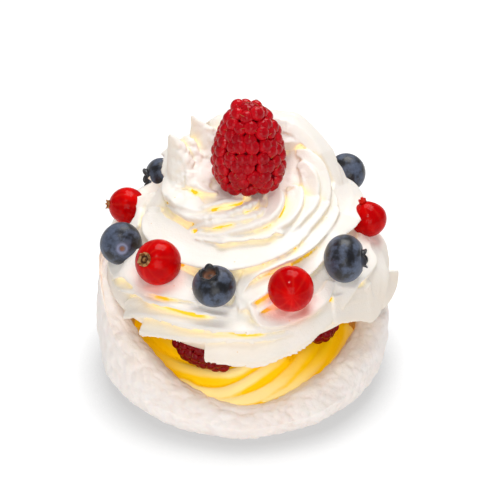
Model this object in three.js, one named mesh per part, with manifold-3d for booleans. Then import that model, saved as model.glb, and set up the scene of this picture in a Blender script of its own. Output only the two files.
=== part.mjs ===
// A single-serving pavlova: a meringue nest filled with piped custard ropes, two raspberries lying
// on the custard, a tall swirl of whipped cream piped in overlapping ribs, a ring of twelve
// berries round the swirl and one large raspberry on top.
// Millimetres, +Z up. The origin is the middle of the flat underside and -Y is the front.

import * as THREE from 'three';
import { mergeVertices } from 'three/addons/utils/BufferGeometryUtils.js';
import Module from 'manifold-3d';

const wasm = await Module();
wasm.setup();

// ---------------------------------------------------------------------------------------------
// Driving dimensions
// ---------------------------------------------------------------------------------------------

const GAP = 0.3; // clearance between touching pieces

// Meringue nest
const FOOT_RADIUS = 32; // flat underside
const BELLY_RADIUS = 40; // widest circle
const BELLY_HEIGHT = 9;
const WELL_FLOOR = 4.5; // thickness of the base under the custard
const WELL_RADIUS = 27; // floor of the well
const RIM_HEIGHTS = [33, 23, 14.5, 10.8, 13.5, 17.5, 21, 25, 27, 28, 29, 31]; // from azimuth -180
const WALLS = [3.8, 8, 10.4, 8.2, 9.8, 9, 6.8, 5, 4.6, 4.4, 4.2, 4]; // thickness at those heights
const RIM_LOW = 10.8;
const RIM_HIGH = 33;
const RIM_OUTER = 38.9; // outer radius of the wall where it is highest
const FOLD_DEPTH = 0.45; // soft folds in the outer wall

// Custard
const CUSTARD_RADIUS = 33;
const CUSTARD_EDGE = 10.1; // height of the ropes' backs at the wall
const CUSTARD_CROWN = 17.2; // height of their backs in the middle
const ROPE_WIDTH = 6.6;
const ROPE_HEIGHT = 5.6;
const ROPES = [ // azimuth and radius along each rope that shows under the cream
  [[-172, 26.5], [-142, 26.3], [-112, 26.2], [-90, 23.8], [-66, 20]],
  [[-123, 30.8], [-107, 30.4], [-88, 26.9], [-66, 22.4], [-36, 19.5]],
  [[-96, 31.2], [-80, 30.4], [-61, 26.7], [-40, 24.4], [-14, 22.5]],
  [[-69, 30.4], [-50, 29.2], [-30, 28.2], [-8, 28.2], [14, 27]],
  [[-198, 30], [-182, 29.5], [-166, 27], [-150, 23], [-132, 21]],
];

// Whipped cream: profile of the swirl without its ribs, as radius and height, from edge to middle
const CREAM_PROFILE = [
  [31, 21.5], [36, 25.5], [37.5, 32], [36, 38.5], [31.5, 44],
  [26, 48.5], [20, 52.5], [13.5, 55.5], [6, 56.5], [0, 56.5],
];
const CREAM_UNDERSIDE = 16.5;
const CREAM_CREASE = 1; // how far the creases lie under that profile
const CREAM_LEAN = [1, 2]; // how far the top of the swirl sits off centre
const RIDGE_AZIMUTH = 80; // the swirl stands higher here
const RIDGE_RISE = 13;
const RIDGE_RADIUS = 20;
const RIDGE_SPREAD = 8.5;
const RIDGE_LEFT = 0.85; // the ridge falls away more slowly on its left-hand side

// Top raspberry
const TOP_BERRY = { x: 1.8, y: 0.5, base: 57, length: 24.2, radius: 9.9 };

// Berries of the ring
const BLUEBERRY_CROWN = 2.2; // radius of the star-shaped crown
const BLUEBERRY_FLAT = 0.86; // height as a share of the width
const CURRANT_TIP = 1.1; // radius of the dried flower

const COLOUR = {
  meringue: 0xefe4db,
  custard: 0xf6c64c,
  cream: 0xf4efe6,
  raspberry: 0xa81422,
  blueberry: 0x2e3550,
  currant: 0xc41018,
};

// ---------------------------------------------------------------------------------------------
// Small tools
// ---------------------------------------------------------------------------------------------

const rad = THREE.MathUtils.degToRad;
const clamp = THREE.MathUtils.clamp;
const lerp = THREE.MathUtils.lerp;

// Smooth curve through rows of numbers, for t from 0 to 1.
function through(rows, t) {
  const last = rows.length - 1;
  const x = clamp(t, 0, 1) * last;
  const i = Math.min(Math.floor(x), last - 1);
  const f = x - i;
  const a = rows[Math.max(i - 1, 0)];
  const b = rows[i];
  const c = rows[i + 1];
  const d = rows[Math.min(i + 2, last)];
  return b.map((_, k) => 0.5 * (2 * b[k] + (c[k] - a[k]) * f
    + (2 * a[k] - 5 * b[k] + 4 * c[k] - d[k]) * f * f
    + (3 * b[k] - a[k] - 3 * c[k] + d[k]) * f * f * f));
}

// Smooth periodic value from evenly spaced samples that start at azimuth -180.
function around(samples, azimuth) {
  const n = samples.length;
  const x = ((azimuth + 180) / 360) * n;
  const i = Math.floor(x);
  const f = x - i;
  const at = (k) => samples[(((i + k) % n) + n) % n];
  return 0.5 * (2 * at(0) + (at(1) - at(-1)) * f
    + (2 * at(-1) - 5 * at(0) + 4 * at(1) - at(2)) * f * f
    + (3 * at(0) - at(-1) - 3 * at(1) + at(2)) * f * f * f);
}

// Geometry from points and triangles.
function geometryFrom(points, triangles) {
  const geometry = new THREE.BufferGeometry();
  geometry.setAttribute('position', new THREE.Float32BufferAttribute(points.flat(), 3));
  geometry.setIndex(triangles);
  return geometry;
}

// Closed solid between two poles: rings of equal length, each going once round the axis.
function stack(firstPole, rings, lastPole) {
  const n = rings[0].length;
  const points = [firstPole, ...rings.flat(), lastPole];
  const triangles = [];
  const at = (ring, i) => 1 + ring * n + ((i + n) % n);
  for (let i = 0; i < n; i += 1) {
    triangles.push(0, at(0, i + 1), at(0, i));
    triangles.push(points.length - 1, at(rings.length - 1, i), at(rings.length - 1, i + 1));
    for (let ring = 0; ring + 1 < rings.length; ring += 1) {
      triangles.push(at(ring, i), at(ring, i + 1), at(ring + 1, i + 1));
      triangles.push(at(ring, i), at(ring + 1, i + 1), at(ring + 1, i));
    }
  }
  return geometryFrom(points, triangles);
}

// Closed solid through a row of sections of equal length, closed by a fan at each end.
function loft(sections) {
  const middle = (section) => [0, 1, 2].map(
    (k) => section.reduce((sum, p) => sum + p[k], 0) / section.length,
  );
  return stack(middle(sections[0]), sections, middle(sections[sections.length - 1]));
}

// Manifold solid of a geometry, with its faces turned outward.
function solid(geometry) {
  const bare = geometry.clone();
  bare.deleteAttribute('normal');
  bare.deleteAttribute('uv');
  const merged = mergeVertices(bare, 1e-4);
  const triVerts = new Uint32Array(merged.index.array);
  const vertProperties = new Float32Array(merged.attributes.position.array);
  const made = new wasm.Manifold(new wasm.Mesh({ numProp: 3, vertProperties, triVerts }));
  if (made.volume() > 0) return made;
  const turned = triVerts.map((_, i) => triVerts[i - (i % 3) + ((3 - (i % 3)) % 3)]);
  return new wasm.Manifold(new wasm.Mesh({ numProp: 3, vertProperties, triVerts: turned }));
}

// Largest body of a solid, without the slivers that a cut can leave.
function mainBody(shape) {
  const bodies = shape.decompose();
  return bodies.reduce((best, body) => (body.volume() > best.volume() ? body : best));
}

function joined(shapes) {
  return shapes.reduce((sum, shape) => sum.add(shape));
}

function without(shape, cutters) {
  return cutters.reduce((rest, cutter) => rest.subtract(cutter), shape);
}

const group = new THREE.Group();

// Adds a solid to the group as a named mesh.
function place(name, shape, colour, roughness) {
  const made = mainBody(shape).getMesh();
  const geometry = new THREE.BufferGeometry();
  geometry.setAttribute('position', new THREE.BufferAttribute(
    new Float32Array(made.vertProperties), 3,
  ));
  geometry.setIndex(new THREE.BufferAttribute(new Uint32Array(made.triVerts), 1));
  geometry.computeVertexNormals();
  const material = new THREE.MeshStandardMaterial({ color: colour, roughness, metalness: 0 });
  const mesh = new THREE.Mesh(geometry, material);
  mesh.name = name;
  group.add(mesh);
}

// ---------------------------------------------------------------------------------------------
// Meringue nest
// ---------------------------------------------------------------------------------------------

// Section of the nest at one azimuth, from the outer edge of the foot to the floor of the well.
// grow thickens it, and reach, where given, moves the outer wall out to that radius.
function nestSection(azimuth, grow, reach) {
  const height = around(RIM_HEIGHTS, azimuth) + grow;
  const high = clamp((height - RIM_LOW) / (RIM_HIGH - RIM_LOW), 0, 1);
  const wall = around(WALLS, azimuth) + 2 * grow;
  const outer = lerp(BELLY_RADIUS, RIM_OUTER, high) + grow;
  const rim = outer - wall / 2;
  const fold = FOLD_DEPTH * (Math.sin(rad(azimuth * 5 + 40)) + 0.6 * Math.sin(rad(azimuth * 11)));
  const shoulder = Math.max(height - wall * 0.35, BELLY_HEIGHT * 0.82);
  const belly = Math.min(BELLY_HEIGHT, shoulder - 1.5);
  const outside = reach
    ? [[reach, -grow], [reach, 4], [reach, belly], [reach, shoulder], [reach, height]]
    : [[FOOT_RADIUS + grow, -grow], [BELLY_RADIUS - 2.2 + grow, belly * 0.4 - grow],
      [BELLY_RADIUS + grow + fold, belly], [outer + fold * 0.5, shoulder],
      [rim + wall * 0.3, height - wall * 0.08]];
  return [
    ...outside,
    [rim, height],
    [rim - wall * 0.34, height - wall * 0.12],
    [rim - wall / 2, height - wall * 0.38],
    [lerp(WELL_RADIUS + 2.5 - grow, rim - wall / 2, 0.4), lerp(WELL_FLOOR, height - 4, 0.45)],
    [WELL_RADIUS + 1 - grow, WELL_FLOOR + 1.6 + grow],
    [WELL_RADIUS - 4, WELL_FLOOR + grow],
  ];
}

function nest(grow = 0, reach = 0) {
  const steps = 54;
  const sections = [];
  for (let i = 0; i < steps; i += 1) {
    const azimuth = (360 * i) / steps;
    sections.push(nestSection(azimuth, grow, reach).map(([r, z]) => [
      r * Math.cos(rad(azimuth)), r * Math.sin(rad(azimuth)), z,
    ]));
  }
  const rings = sections[0].map((_, k) => sections.map((section) => section[k]));
  return solid(stack([0, 0, -grow], rings, [0, 0, WELL_FLOOR + grow]));
}

// ---------------------------------------------------------------------------------------------
// Custard
// ---------------------------------------------------------------------------------------------

function custardHeight(r) {
  const t = clamp(r / CUSTARD_RADIUS, 0, 1);
  return lerp(CUSTARD_CROWN, CUSTARD_EDGE, t * t * t);
}

// One piped rope along rows of azimuth and radius: blunt at the wall, and it climbs inward.
function custardRope(path) {
  const sides = 8;
  const stations = 6;
  const sections = [];
  for (let i = 0; i <= stations; i += 1) {
    const at = (t) => {
      const [azimuth, r] = through(path, t);
      return new THREE.Vector3(
        r * Math.cos(rad(azimuth)), r * Math.sin(rad(azimuth)),
        custardHeight(r) - ROPE_HEIGHT / 2,
      );
    };
    const t = i / stations;
    const along = at(t + 0.02).sub(at(t - 0.02)).normalize();
    const across = new THREE.Vector3(-along.y, along.x, 0).normalize();
    const size = 0.8 + 0.2 * Math.min(1, 5 * t);
    sections.push(Array.from({ length: sides }, (_, k) => {
      const turn = rad((360 * k) / sides);
      const point = at(t).addScaledVector(across, (size * ROPE_WIDTH / 2) * Math.cos(turn));
      point.z += (size * ROPE_HEIGHT / 2) * Math.sin(turn);
      return point.toArray();
    }));
  }
  return solid(loft(sections));
}

// Smooth dome that clears the backs of all the ropes by the gap.
function custardCover() {
  const ring = (r, z) => Array.from({ length: 20 }, (_, i) => [
    r * Math.cos(rad(i * 18)), r * Math.sin(rad(i * 18)), z,
  ]);
  const rings = [ring(CUSTARD_RADIUS, 0), ...[CUSTARD_RADIUS, 26, 16].map(
    (r) => ring(r, custardHeight(r) + GAP + 0.1),
  )];
  return solid(stack([0, 0, 0], rings, [0, 0, CUSTARD_CROWN + GAP + 0.1]));
}

function custard() {
  const ring = (r, z) => Array.from({ length: 30 }, (_, i) => [
    r * Math.cos(rad(i * 12)), r * Math.sin(rad(i * 12)), z,
  ]);
  const level = (r) => custardHeight(r) - ROPE_HEIGHT / 2;
  const rings = [ring(CUSTARD_RADIUS, 2), ...[CUSTARD_RADIUS, 25, 15].map((r) => ring(r, level(r)))];
  const body = solid(stack([0, 0, 2], rings, [0, 0, level(0)]));
  return joined([body, ...ROPES.map(custardRope)]);
}

// ---------------------------------------------------------------------------------------------
// Whipped cream
// ---------------------------------------------------------------------------------------------

// Point of the swirl's surface, for an azimuth in degrees and s from 0 at the edge to 1.
function creamPoint(azimuth, s) {
  const [r, z] = through(CREAM_PROFILE, s);
  const turn = ((((azimuth - RIDGE_AZIMUTH + 180) % 360) + 360) % 360) - 180;
  const away = clamp(turn > 0 ? turn * RIDGE_LEFT : turn, -90, 90);
  const side = Math.max(Math.cos(rad(away)), 0) ** 0.8;
  const height = z + RIDGE_RISE * side * Math.exp(-(((r - RIDGE_RADIUS) / RIDGE_SPREAD) ** 2));
  const lean = clamp((height - 30) / 25, 0, 1);
  return new THREE.Vector3(
    r * Math.cos(rad(azimuth)) + CREAM_LEAN[0] * lean,
    r * Math.sin(rad(azimuth)) + CREAM_LEAN[1] * lean,
    height,
  );
}

function creamNormal(azimuth, s) {
  const low = clamp(s, 0.01, 0.97);
  const along = creamPoint(azimuth + 1, low).sub(creamPoint(azimuth - 1, low));
  const up = creamPoint(azimuth, low + 0.01).sub(creamPoint(azimuth, low - 0.01));
  return along.cross(up).normalize();
}

function creamCore() {
  const steps = 32;
  const levels = [0.2, 0.28, 0.36, 0.46, 0.56, 0.66, 0.76, 0.88];
  const ring = (s) => Array.from(
    { length: steps }, (_, i) => creamPoint((360 * i) / steps, s)
      .addScaledVector(creamNormal((360 * i) / steps, s), -CREAM_CREASE).toArray(),
  );
  const under = Array.from({ length: steps }, (_, i) => {
    const edge = creamPoint((360 * i) / steps, 0);
    return [edge.x * 0.75, edge.y * 0.75, CREAM_UNDERSIDE + 2];
  });
  const top = creamPoint(0, 1).toArray();
  top[2] -= CREAM_CREASE;
  return solid(stack([0, 0, CREAM_UNDERSIDE], [under, ...levels.map(ring)], top));
}

// A piped rib lies on the swirl like a shingle: it rises from the surface towards its lip and
// drops from the lip into a crease. path holds rows of azimuth and s under the lip, width is
// how far the rib runs uphill, stand is the lip's height, bend is over 1 for a hollow face
// and under 1 for a round one, and head and tail say how much of the stand is left at the ends.
function creamRib({ path, width, stand, bend = 1, lip = 0.7, head = 0.15, tail = 0.15 }) {
  const span = path.reduce((sum, p, i) => (i ? sum + Math.hypot(
    p[0] - path[i - 1][0], 300 * (p[1] - path[i - 1][1]),
  ) : 0), 0);
  const stations = Math.max(3, Math.round(span / 21));
  const sections = [];
  for (let i = 0; i <= stations; i += 1) {
    const t = i / stations;
    const [azimuth, s] = through(path, t);
    const base = creamPoint(azimuth, s);
    const normal = creamNormal(azimuth, s);
    const before = creamPoint(...through(path, t - 0.02));
    const after = creamPoint(...through(path, t + 0.02));
    const along = after.sub(before).normalize();
    const uphill = new THREE.Vector3().crossVectors(normal, along).normalize();
    const fade = lerp(head, 1, Math.min(1, t * 3.5)) * lerp(tail, 1, Math.min(1, (1 - t) * 3.5));
    const w = width * (0.35 + 0.65 * fade);
    const h = stand * fade;
    const outline = [
      [w, -3], ...(width > 5 ? [[w * 0.6, h * 0.4 ** bend]] : []), [w * 0.3, h * 0.72 ** bend],
      [-lip * fade, h], [0.35, h * 0.3], [0.6, -3],
    ];
    sections.push(outline.map(([a, n]) => base.clone()
      .addScaledVector(uphill, a).addScaledVector(normal, n).toArray()));
  }
  return solid(loft(sections));
}

// Ribs that have a course of their own, from the lower loop up to the top.
const RIBS = [
  // lower loop
  { path: [[-104, 0.165], [-92, 0.16], [-78, 0.17], [-66, 0.22], [-50, 0.265]], width: 8.5,
    stand: 3.4, bend: 1.5, lip: 1, head: 0.9 },
  { path: [[-132, 0.21], [-118, 0.24], [-104, 0.262], [-84, 0.26]], width: 6, stand: 2.6,
    bend: 1.3, head: 0.9 },
  { path: [[-152, 0.17], [-143, 0.205], [-131, 0.27], [-104, 0.3], [-77, 0.3], [-56, 0.32]],
    width: 6.5, stand: 3.4, bend: 0.6, lip: 1.1 },
  { path: [[-166, 0.25], [-145, 0.3], [-126, 0.33], [-104, 0.335]], width: 3.6, stand: 2.6,
    bend: 0.7 },
  { path: [[-176, 0.3], [-157, 0.35], [-140, 0.37], [-118, 0.352], [-98, 0.345], [-86, 0.33]],
    width: 9.5, stand: 3, bend: 0.9 },
  { path: [[-90, 0.3], [-74, 0.325], [-52, 0.35], [-36, 0.37]], width: 6, stand: 2.6, bend: 0.8 },
  { path: [[-88, 0.335], [-75, 0.365], [-58, 0.4]], width: 4, stand: 1.6 },
  { path: [[-90, 0.36], [-80, 0.4], [-62, 0.45]], width: 4.5, stand: 2, bend: 0.8 },
  // right-hand lobes
  { path: [[-58, 0.27], [-46, 0.24], [-36, 0.18], [-24, 0.165], [-12, 0.19]], width: 8, stand: 3.2,
    bend: 0.8, head: 0.4 },
  { path: [[-40, 0.2], [-33, 0.28], [-24, 0.36], [-12, 0.44]], width: 6, stand: 2.8, bend: 1.2 },
  { path: [[-20, 0.16], [-8, 0.2], [0, 0.3], [5, 0.42]], width: 9, stand: 3, bend: 0.7,
    head: 0.6 },
  { path: [[0, 0.08], [7, 0.12], [13, 0.18], [18, 0.27]], width: 7, stand: 5.2, bend: 1,
    head: 0.6, tail: 0.5 },
  // wide petals
  { path: [[-64, 0.46], [-48, 0.5], [-30, 0.53], [-9, 0.505], [14, 0.48], [40, 0.49], [64, 0.54]],
    width: 9, stand: 3.4, bend: 1.4, lip: 1.1 },
  { path: [[-92, 0.455], [-78, 0.49], [-62, 0.535], [-38, 0.58]], width: 4.5, stand: 2.2 },
  { path: [[-126, 0.51], [-110, 0.52], [-94, 0.53], [-62, 0.59], [-40, 0.62]], width: 6,
    stand: 2.2, bend: 0.9 },
  { path: [[-71, 0.54], [-50, 0.57], [-30, 0.583], [-2, 0.588], [16, 0.65], [40, 0.72]], width: 7,
    stand: 2.8, bend: 0.8 },
  { path: [[-205, 0.47], [-189, 0.515], [-160, 0.585], [-131, 0.605], [-105, 0.62], [-82, 0.65],
    [-52, 0.655]], width: 6.5, stand: 2.6, bend: 0.8 },
  // inner ribs, close to the top raspberry
  { path: [[-62, 0.63], [-40, 0.665], [-10, 0.69], [14, 0.72], [44, 0.79]], width: 4.6, stand: 2.3,
    bend: 0.7 },
  { path: [[-82, 0.64], [-50, 0.695], [-26, 0.725], [0, 0.765], [24, 0.83]], width: 4.6,
    stand: 2.3, bend: 0.7 },
  { path: [[-138, 0.62], [-116, 0.645], [-77, 0.69], [-45, 0.765], [-16, 0.85]], width: 4.6,
    stand: 2.3, bend: 0.7 },
  { path: [[-156, 0.61], [-131, 0.645], [-75, 0.75], [-44, 0.83]], width: 4.4, stand: 2,
    bend: 0.7 },
  { path: [[-178, 0.62], [-152, 0.67], [-97, 0.77], [-66, 0.86]], width: 4.4, stand: 2, bend: 0.7 },
  { path: [[-198, 0.62], [-171, 0.72], [-138, 0.8], [-104, 0.88]], width: 4.4, stand: 2.2,
    bend: 0.7 },
];

// Two peaks at the back left, where the nozzle pulled away: each is a thin blade with its foot on
// the swirl and a pointed tip.
const PEAKS = [
  { foot: [148, 0.62], tip: [-18.8, 8.5, 67.6], face: -35, length: 12, thick: 8 },
  { foot: [122, 0.62], tip: [-13.3, 13.4, 70.9], face: -12, length: 26, thick: 8 },
];
const PEAK_ROOT = 5; // how deep a peak starts inside the swirl

function creamPeak({ foot, tip, face, length, thick }) {
  const [azimuth, s] = foot;
  const root = creamPoint(azimuth, s).addScaledVector(creamNormal(azimuth, s), -PEAK_ROOT);
  const end = new THREE.Vector3(...tip);
  const along = pointing(face, 0);
  const across = pointing(face + 90, 0);
  const sections = [0, 0.35, 0.7, 0.96].map((t) => {
    const centre = root.clone().lerp(end, t);
    const half = (length / 2) * (1 - t) ** 0.9 + 0.25;
    const deep = (thick / 2) * (1 - t) ** 0.6 + 0.2;
    return Array.from({ length: 8 }, (_, k) => centre.clone()
      .addScaledVector(along, half * Math.cos(rad(45 * k)))
      .addScaledVector(across, deep * Math.sin(rad(45 * k))).toArray());
  });
  return solid(loft(sections));
}

// The back of the swirl repeats the same climbing ribs at an even pitch.
const BACK_RIBS = { first: 30, last: 156, pitch: 46, climb: 0.0019, sweep: 66 };
const BACK_ROWS = [
  { s: 0.16, width: 8.5, stand: 3.2, bend: 0.8 },
  { s: 0.33, width: 8, stand: 2.8, bend: 0.9 },
  { s: 0.5, width: 8, stand: 2.6, bend: 0.9 },
  { s: 0.68, width: 7, stand: 2.2, bend: 0.8 },
];

function backRibs() {
  const { first, last, pitch, climb, sweep } = BACK_RIBS;
  const ribs = [];
  BACK_ROWS.forEach((row, k) => {
    const offset = (k % 2) * pitch * 0.5;
    for (let azimuth = first + offset; azimuth < last; azimuth += pitch) {
      const path = [0, 0.5, 1].map((t) => [azimuth + sweep * (t - 0.3), row.s + climb * sweep * t]);
      ribs.push(creamRib({ ...row, path }));
    }
  });
  return ribs;
}

// ---------------------------------------------------------------------------------------------
// Berries
// ---------------------------------------------------------------------------------------------

// Turns a solid of revolution from +Z to a direction and moves it to its place.
function poised(geometry, position, direction) {
  const axis = new THREE.Vector3(0, 0, 1);
  const turn = new THREE.Quaternion().setFromUnitVectors(axis, direction.clone().normalize());
  const moved = geometry.clone();
  moved.applyQuaternion(turn);
  moved.translate(...position);
  return moved;
}

function pointing(azimuth, elevation) {
  return new THREE.Vector3(
    Math.cos(rad(elevation)) * Math.cos(rad(azimuth)),
    Math.cos(rad(elevation)) * Math.sin(rad(azimuth)),
    Math.sin(rad(elevation)),
  );
}

// Solid of revolution about +Z from radius and height rows that start and end on the axis.
function turned(profile, sides) {
  const points = profile.map(([r, z]) => new THREE.Vector2(r, z));
  const geometry = new THREE.LatheGeometry(points, sides);
  geometry.rotateX(Math.PI / 2);
  return geometry;
}

// A blueberry is a slightly flattened ball with a raised crown round a shallow pit.
function blueberry(diameter, grow) {
  const r = diameter / 2 + grow;
  const crown = BLUEBERRY_CROWN + grow;
  const profile = [[0, -BLUEBERRY_FLAT * r]];
  for (let i = 1; i <= 5; i += 1) {
    const turn = rad(-90 + 27 * i);
    profile.push([r * Math.cos(turn), BLUEBERRY_FLAT * r * Math.sin(turn)]);
  }
  const top = BLUEBERRY_FLAT * r * 0.9;
  profile.push([crown, top]);
  profile.push([crown * 1.12, top + 1.2]);
  if (!grow) profile.push([crown * 0.66, top + 0.1]);
  profile.push([0, grow ? top + 1.2 : top - 0.1]);
  return turned(profile, 11);
}

// A currant is a ball that ends in a small dried flower.
function currant(diameter, grow) {
  const r = diameter / 2 + grow;
  const tip = CURRANT_TIP + grow;
  const profile = [[0, -r]];
  for (let i = 1; i <= 5; i += 1) {
    const turn = rad(-90 + 29 * i);
    profile.push([r * Math.cos(turn), r * Math.sin(turn)]);
  }
  profile.push([tip, r * 0.98]);
  profile.push([tip * 0.9, r * 0.98 + 0.7]);
  profile.push([0, r * 0.98 + 0.7]);
  return turned(profile, 11);
}

// Outline of a raspberry, as a share of its radius, for u from 0 at the open base to 1 at the tip.
function raspberryGirth(u) {
  return through([[0.8], [1], [0.97], [0.84], [0.62], [0.32]], u)[0];
}

// A raspberry is covered by staggered rows of round drupelets: beads go round each row, and
// steps is the number of points across one drupelet.
function raspberry({ length, radius, rows, beads, steps }) {
  const bead = (Math.PI * radius) / beads;
  const rings = [];
  for (let i = 0; i <= rows * 2; i += 1) {
    const u = i / (rows * 2);
    const row = i / 2;
    const ring = [];
    for (let k = 0; k < beads * steps; k += 1) {
      const nearest = [Math.floor(row), Math.floor(row) + 1].map((each) => {
        const column = k / steps - (each % 2) * 0.5;
        return Math.hypot(column - Math.round(column), (row - each) * 0.92);
      });
      const away = Math.min(...nearest) * 1.75;
      const bump = Math.sqrt(Math.max(0, 1 - away * away));
      const r = (radius - bead * 0.75) * raspberryGirth(u) + 0.75 * bead * bump;
      const turn = (2 * Math.PI * k) / (beads * steps);
      ring.push([r * Math.cos(turn), r * Math.sin(turn), bead * 0.4 + (length - bead) * u]);
    }
    rings.push(ring);
  }
  return solid(stack([0, 0, 0.6], rings, [0, 0, length]));
}

// Smooth hollow that clears a raspberry by the gap.
function raspberryPocket({ length, radius, beads }) {
  const relief = (0.75 * Math.PI * radius) / beads;
  const steps = 6;
  const profile = [[0, -GAP]];
  for (let i = 0; i <= steps; i += 1) {
    const girth = (radius - relief) * raspberryGirth(i / steps) + relief + 1.6 * GAP;
    profile.push([girth, lerp(-GAP, length + GAP, i / steps)]);
  }
  profile.push([0, length + 2 * GAP]);
  return turned(profile, 16);
}

// Moves a manifold solid as poised() moves a geometry.
function poisedSolid(shape, position, direction) {
  const mesh = shape.getMesh();
  const geometry = new THREE.BufferGeometry();
  geometry.setAttribute('position', new THREE.BufferAttribute(
    new Float32Array(mesh.vertProperties), 3,
  ));
  geometry.setIndex(new THREE.BufferAttribute(new Uint32Array(mesh.triVerts), 1));
  return solid(poised(geometry, position, direction));
}

// Ring berries: azimuth, distance from the axis and height of the middle, diameter, and the
// azimuth and elevation that the crown or the dried flower points to.
const RING = [
  { name: 'blueberry_1', at: [135.3, 31.4, 47.3], size: 10.2, tip: [-168, 2] },
  { name: 'currant_1', at: [166.5, 31.8, 46.4], size: 10, tip: [-176, 8] },
  { name: 'blueberry_2', at: [-162, 33.2, 45.4], size: 11.2, tip: [98, -15] },
  { name: 'currant_2', at: [-132.3, 31.6, 48], size: 11.8, tip: [-133, 33] },
  { name: 'blueberry_3', at: [-102.2, 33.2, 46.7], size: 11.2, tip: [-136, 70] },
  { name: 'currant_3', at: [-69.4, 34.6, 45.8], size: 11.6, tip: [92, -14] },
  { name: 'blueberry_4', at: [-38.4, 33.4, 47.3], size: 12.4, tip: [-8, 6] },
  { name: 'currant_4', at: [-0.5, 33.6, 46.8], size: 9.8, tip: [72, 60] },
  { name: 'blueberry_5', at: [34, 34.8, 49.6], size: 10.6, tip: [62, -24] },
  { name: 'currant_5', at: [59, 35.2, 49.6], size: 10.8, tip: [80, 30] },
  { name: 'blueberry_6', at: [85, 35.2, 49.8], size: 11, tip: [120, 45] },
  { name: 'currant_6', at: [111, 34.4, 48.8], size: 10.8, tip: [150, 12] },
];

function ringPosition([azimuth, r, z]) {
  return [r * Math.cos(rad(azimuth)), r * Math.sin(rad(azimuth)), z];
}

function ringBerry(entry, grow) {
  const make = entry.name.startsWith('blueberry') ? blueberry : currant;
  const geometry = make(entry.size, grow);
  return solid(poised(geometry, ringPosition(entry.at), pointing(...entry.tip)));
}

// Raspberries lying on the custard, half under the cream: where the base is and where it points.
const LYING = [
  { name: 'raspberry_left', base: [-15.2, -14.4, 20.6], point: [-40, -12] },
  { name: 'raspberry_right', base: [10.8, -6.2, 21.4], point: [-31, -5] },
];
const LYING_BERRY = { length: 16.5, radius: 6.6, rows: 6, beads: 12, steps: 2 };

// ---------------------------------------------------------------------------------------------
// Assembly
// ---------------------------------------------------------------------------------------------

const topBerry = { ...TOP_BERRY, rows: 7, beads: 14, steps: 4 };
const topAt = [TOP_BERRY.x, TOP_BERRY.y, TOP_BERRY.base];
const upward = new THREE.Vector3(0, 0, 1);

const envelope = nest(GAP, 60);
const lyingPockets = LYING.map(({ base, point }) => solid(
  poised(raspberryPocket(LYING_BERRY), base, pointing(...point)),
));
const topPocket = solid(poised(raspberryPocket(topBerry), topAt, upward));
const ringPockets = RING.map((entry) => ringBerry(entry, GAP));

place('meringue_nest', nest(), COLOUR.meringue, 0.55);

const filling = without(custard(), [envelope, ...lyingPockets]);
place('custard', filling, COLOUR.custard, 0.3);

const swirl = joined([creamCore(), ...RIBS.map(creamRib), ...PEAKS.map(creamPeak), ...backRibs()]);
const cream = without(swirl, [
  envelope, custardCover(), ...lyingPockets, topPocket, ...ringPockets,
]);
place('whipped_cream', cream, COLOUR.cream, 0.45);

place('raspberry_top', poisedSolid(raspberry(topBerry), topAt, upward), COLOUR.raspberry, 0.35);
LYING.forEach(({ name, base, point }) => {
  const made = poisedSolid(raspberry(LYING_BERRY), base, pointing(...point));
  place(name, without(made, [envelope]), COLOUR.raspberry, 0.35);
});
RING.forEach((entry) => {
  const blue = entry.name.startsWith('blueberry');
  place(entry.name, ringBerry(entry, 0), blue ? COLOUR.blueberry : COLOUR.currant, 0.35);
});

export default group;
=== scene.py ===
# %% [markdown]
# # A small pavlova with raspberries, blueberries and red currants
#
# A meringue nest holds piped custard. A tall swirl of whipped cream stands on it, with two
# raspberries half under its edge, a ring of twelve berries round it and one raspberry on top.
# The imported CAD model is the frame: it says how big every piece is and where it sits. Here each
# piece is made again with the fine shape and the finish that it has on the real cake.

# %% Load the frame
import math

import bmesh
import bpy
import numpy as np
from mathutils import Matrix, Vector
from mathutils.kdtree import KDTree


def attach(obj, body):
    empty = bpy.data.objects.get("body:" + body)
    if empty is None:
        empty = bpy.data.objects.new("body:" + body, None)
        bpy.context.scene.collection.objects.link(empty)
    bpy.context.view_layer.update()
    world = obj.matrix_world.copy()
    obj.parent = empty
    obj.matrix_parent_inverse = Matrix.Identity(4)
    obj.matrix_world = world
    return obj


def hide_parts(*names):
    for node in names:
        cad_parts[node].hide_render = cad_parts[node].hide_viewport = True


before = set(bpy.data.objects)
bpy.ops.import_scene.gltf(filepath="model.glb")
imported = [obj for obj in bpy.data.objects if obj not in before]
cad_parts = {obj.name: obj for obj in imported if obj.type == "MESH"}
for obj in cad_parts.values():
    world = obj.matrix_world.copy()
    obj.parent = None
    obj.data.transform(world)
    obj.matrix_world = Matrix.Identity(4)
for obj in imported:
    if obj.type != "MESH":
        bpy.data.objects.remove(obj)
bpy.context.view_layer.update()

print("nodes in the frame:", len(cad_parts))

# %% [markdown]
# ## Small tools
#
# All shapes are worked out in millimetres with numpy, whole rows of points at a time, and turned
# to metres when a mesh is made. Azimuths are in degrees: 0 is +X and -90 is the front.

# %% Curves through rows of numbers
MM = 0.001  # metres in a millimetre


def spline(a, b, c, d, f):
    """Smooth curve from b to c, for f from 0 to 1, with a before them and d after them."""
    return 0.5 * (2 * b + (c - a) * f + (2 * a - 5 * b + 4 * c - d) * f**2
                  + (3 * b - a - 3 * c + d) * f**3)


def through(rows, t):
    """Smooth curve through rows of numbers, for t from 0 to 1."""
    rows = np.asarray(rows, float)
    last = len(rows) - 1
    x = np.clip(t, 0, 1) * last
    i = np.minimum(np.floor(x).astype(int), last - 1)
    return spline(rows[np.maximum(i - 1, 0)], rows[i], rows[i + 1],
                  rows[np.minimum(i + 2, last)], (x - i)[..., None])


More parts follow.
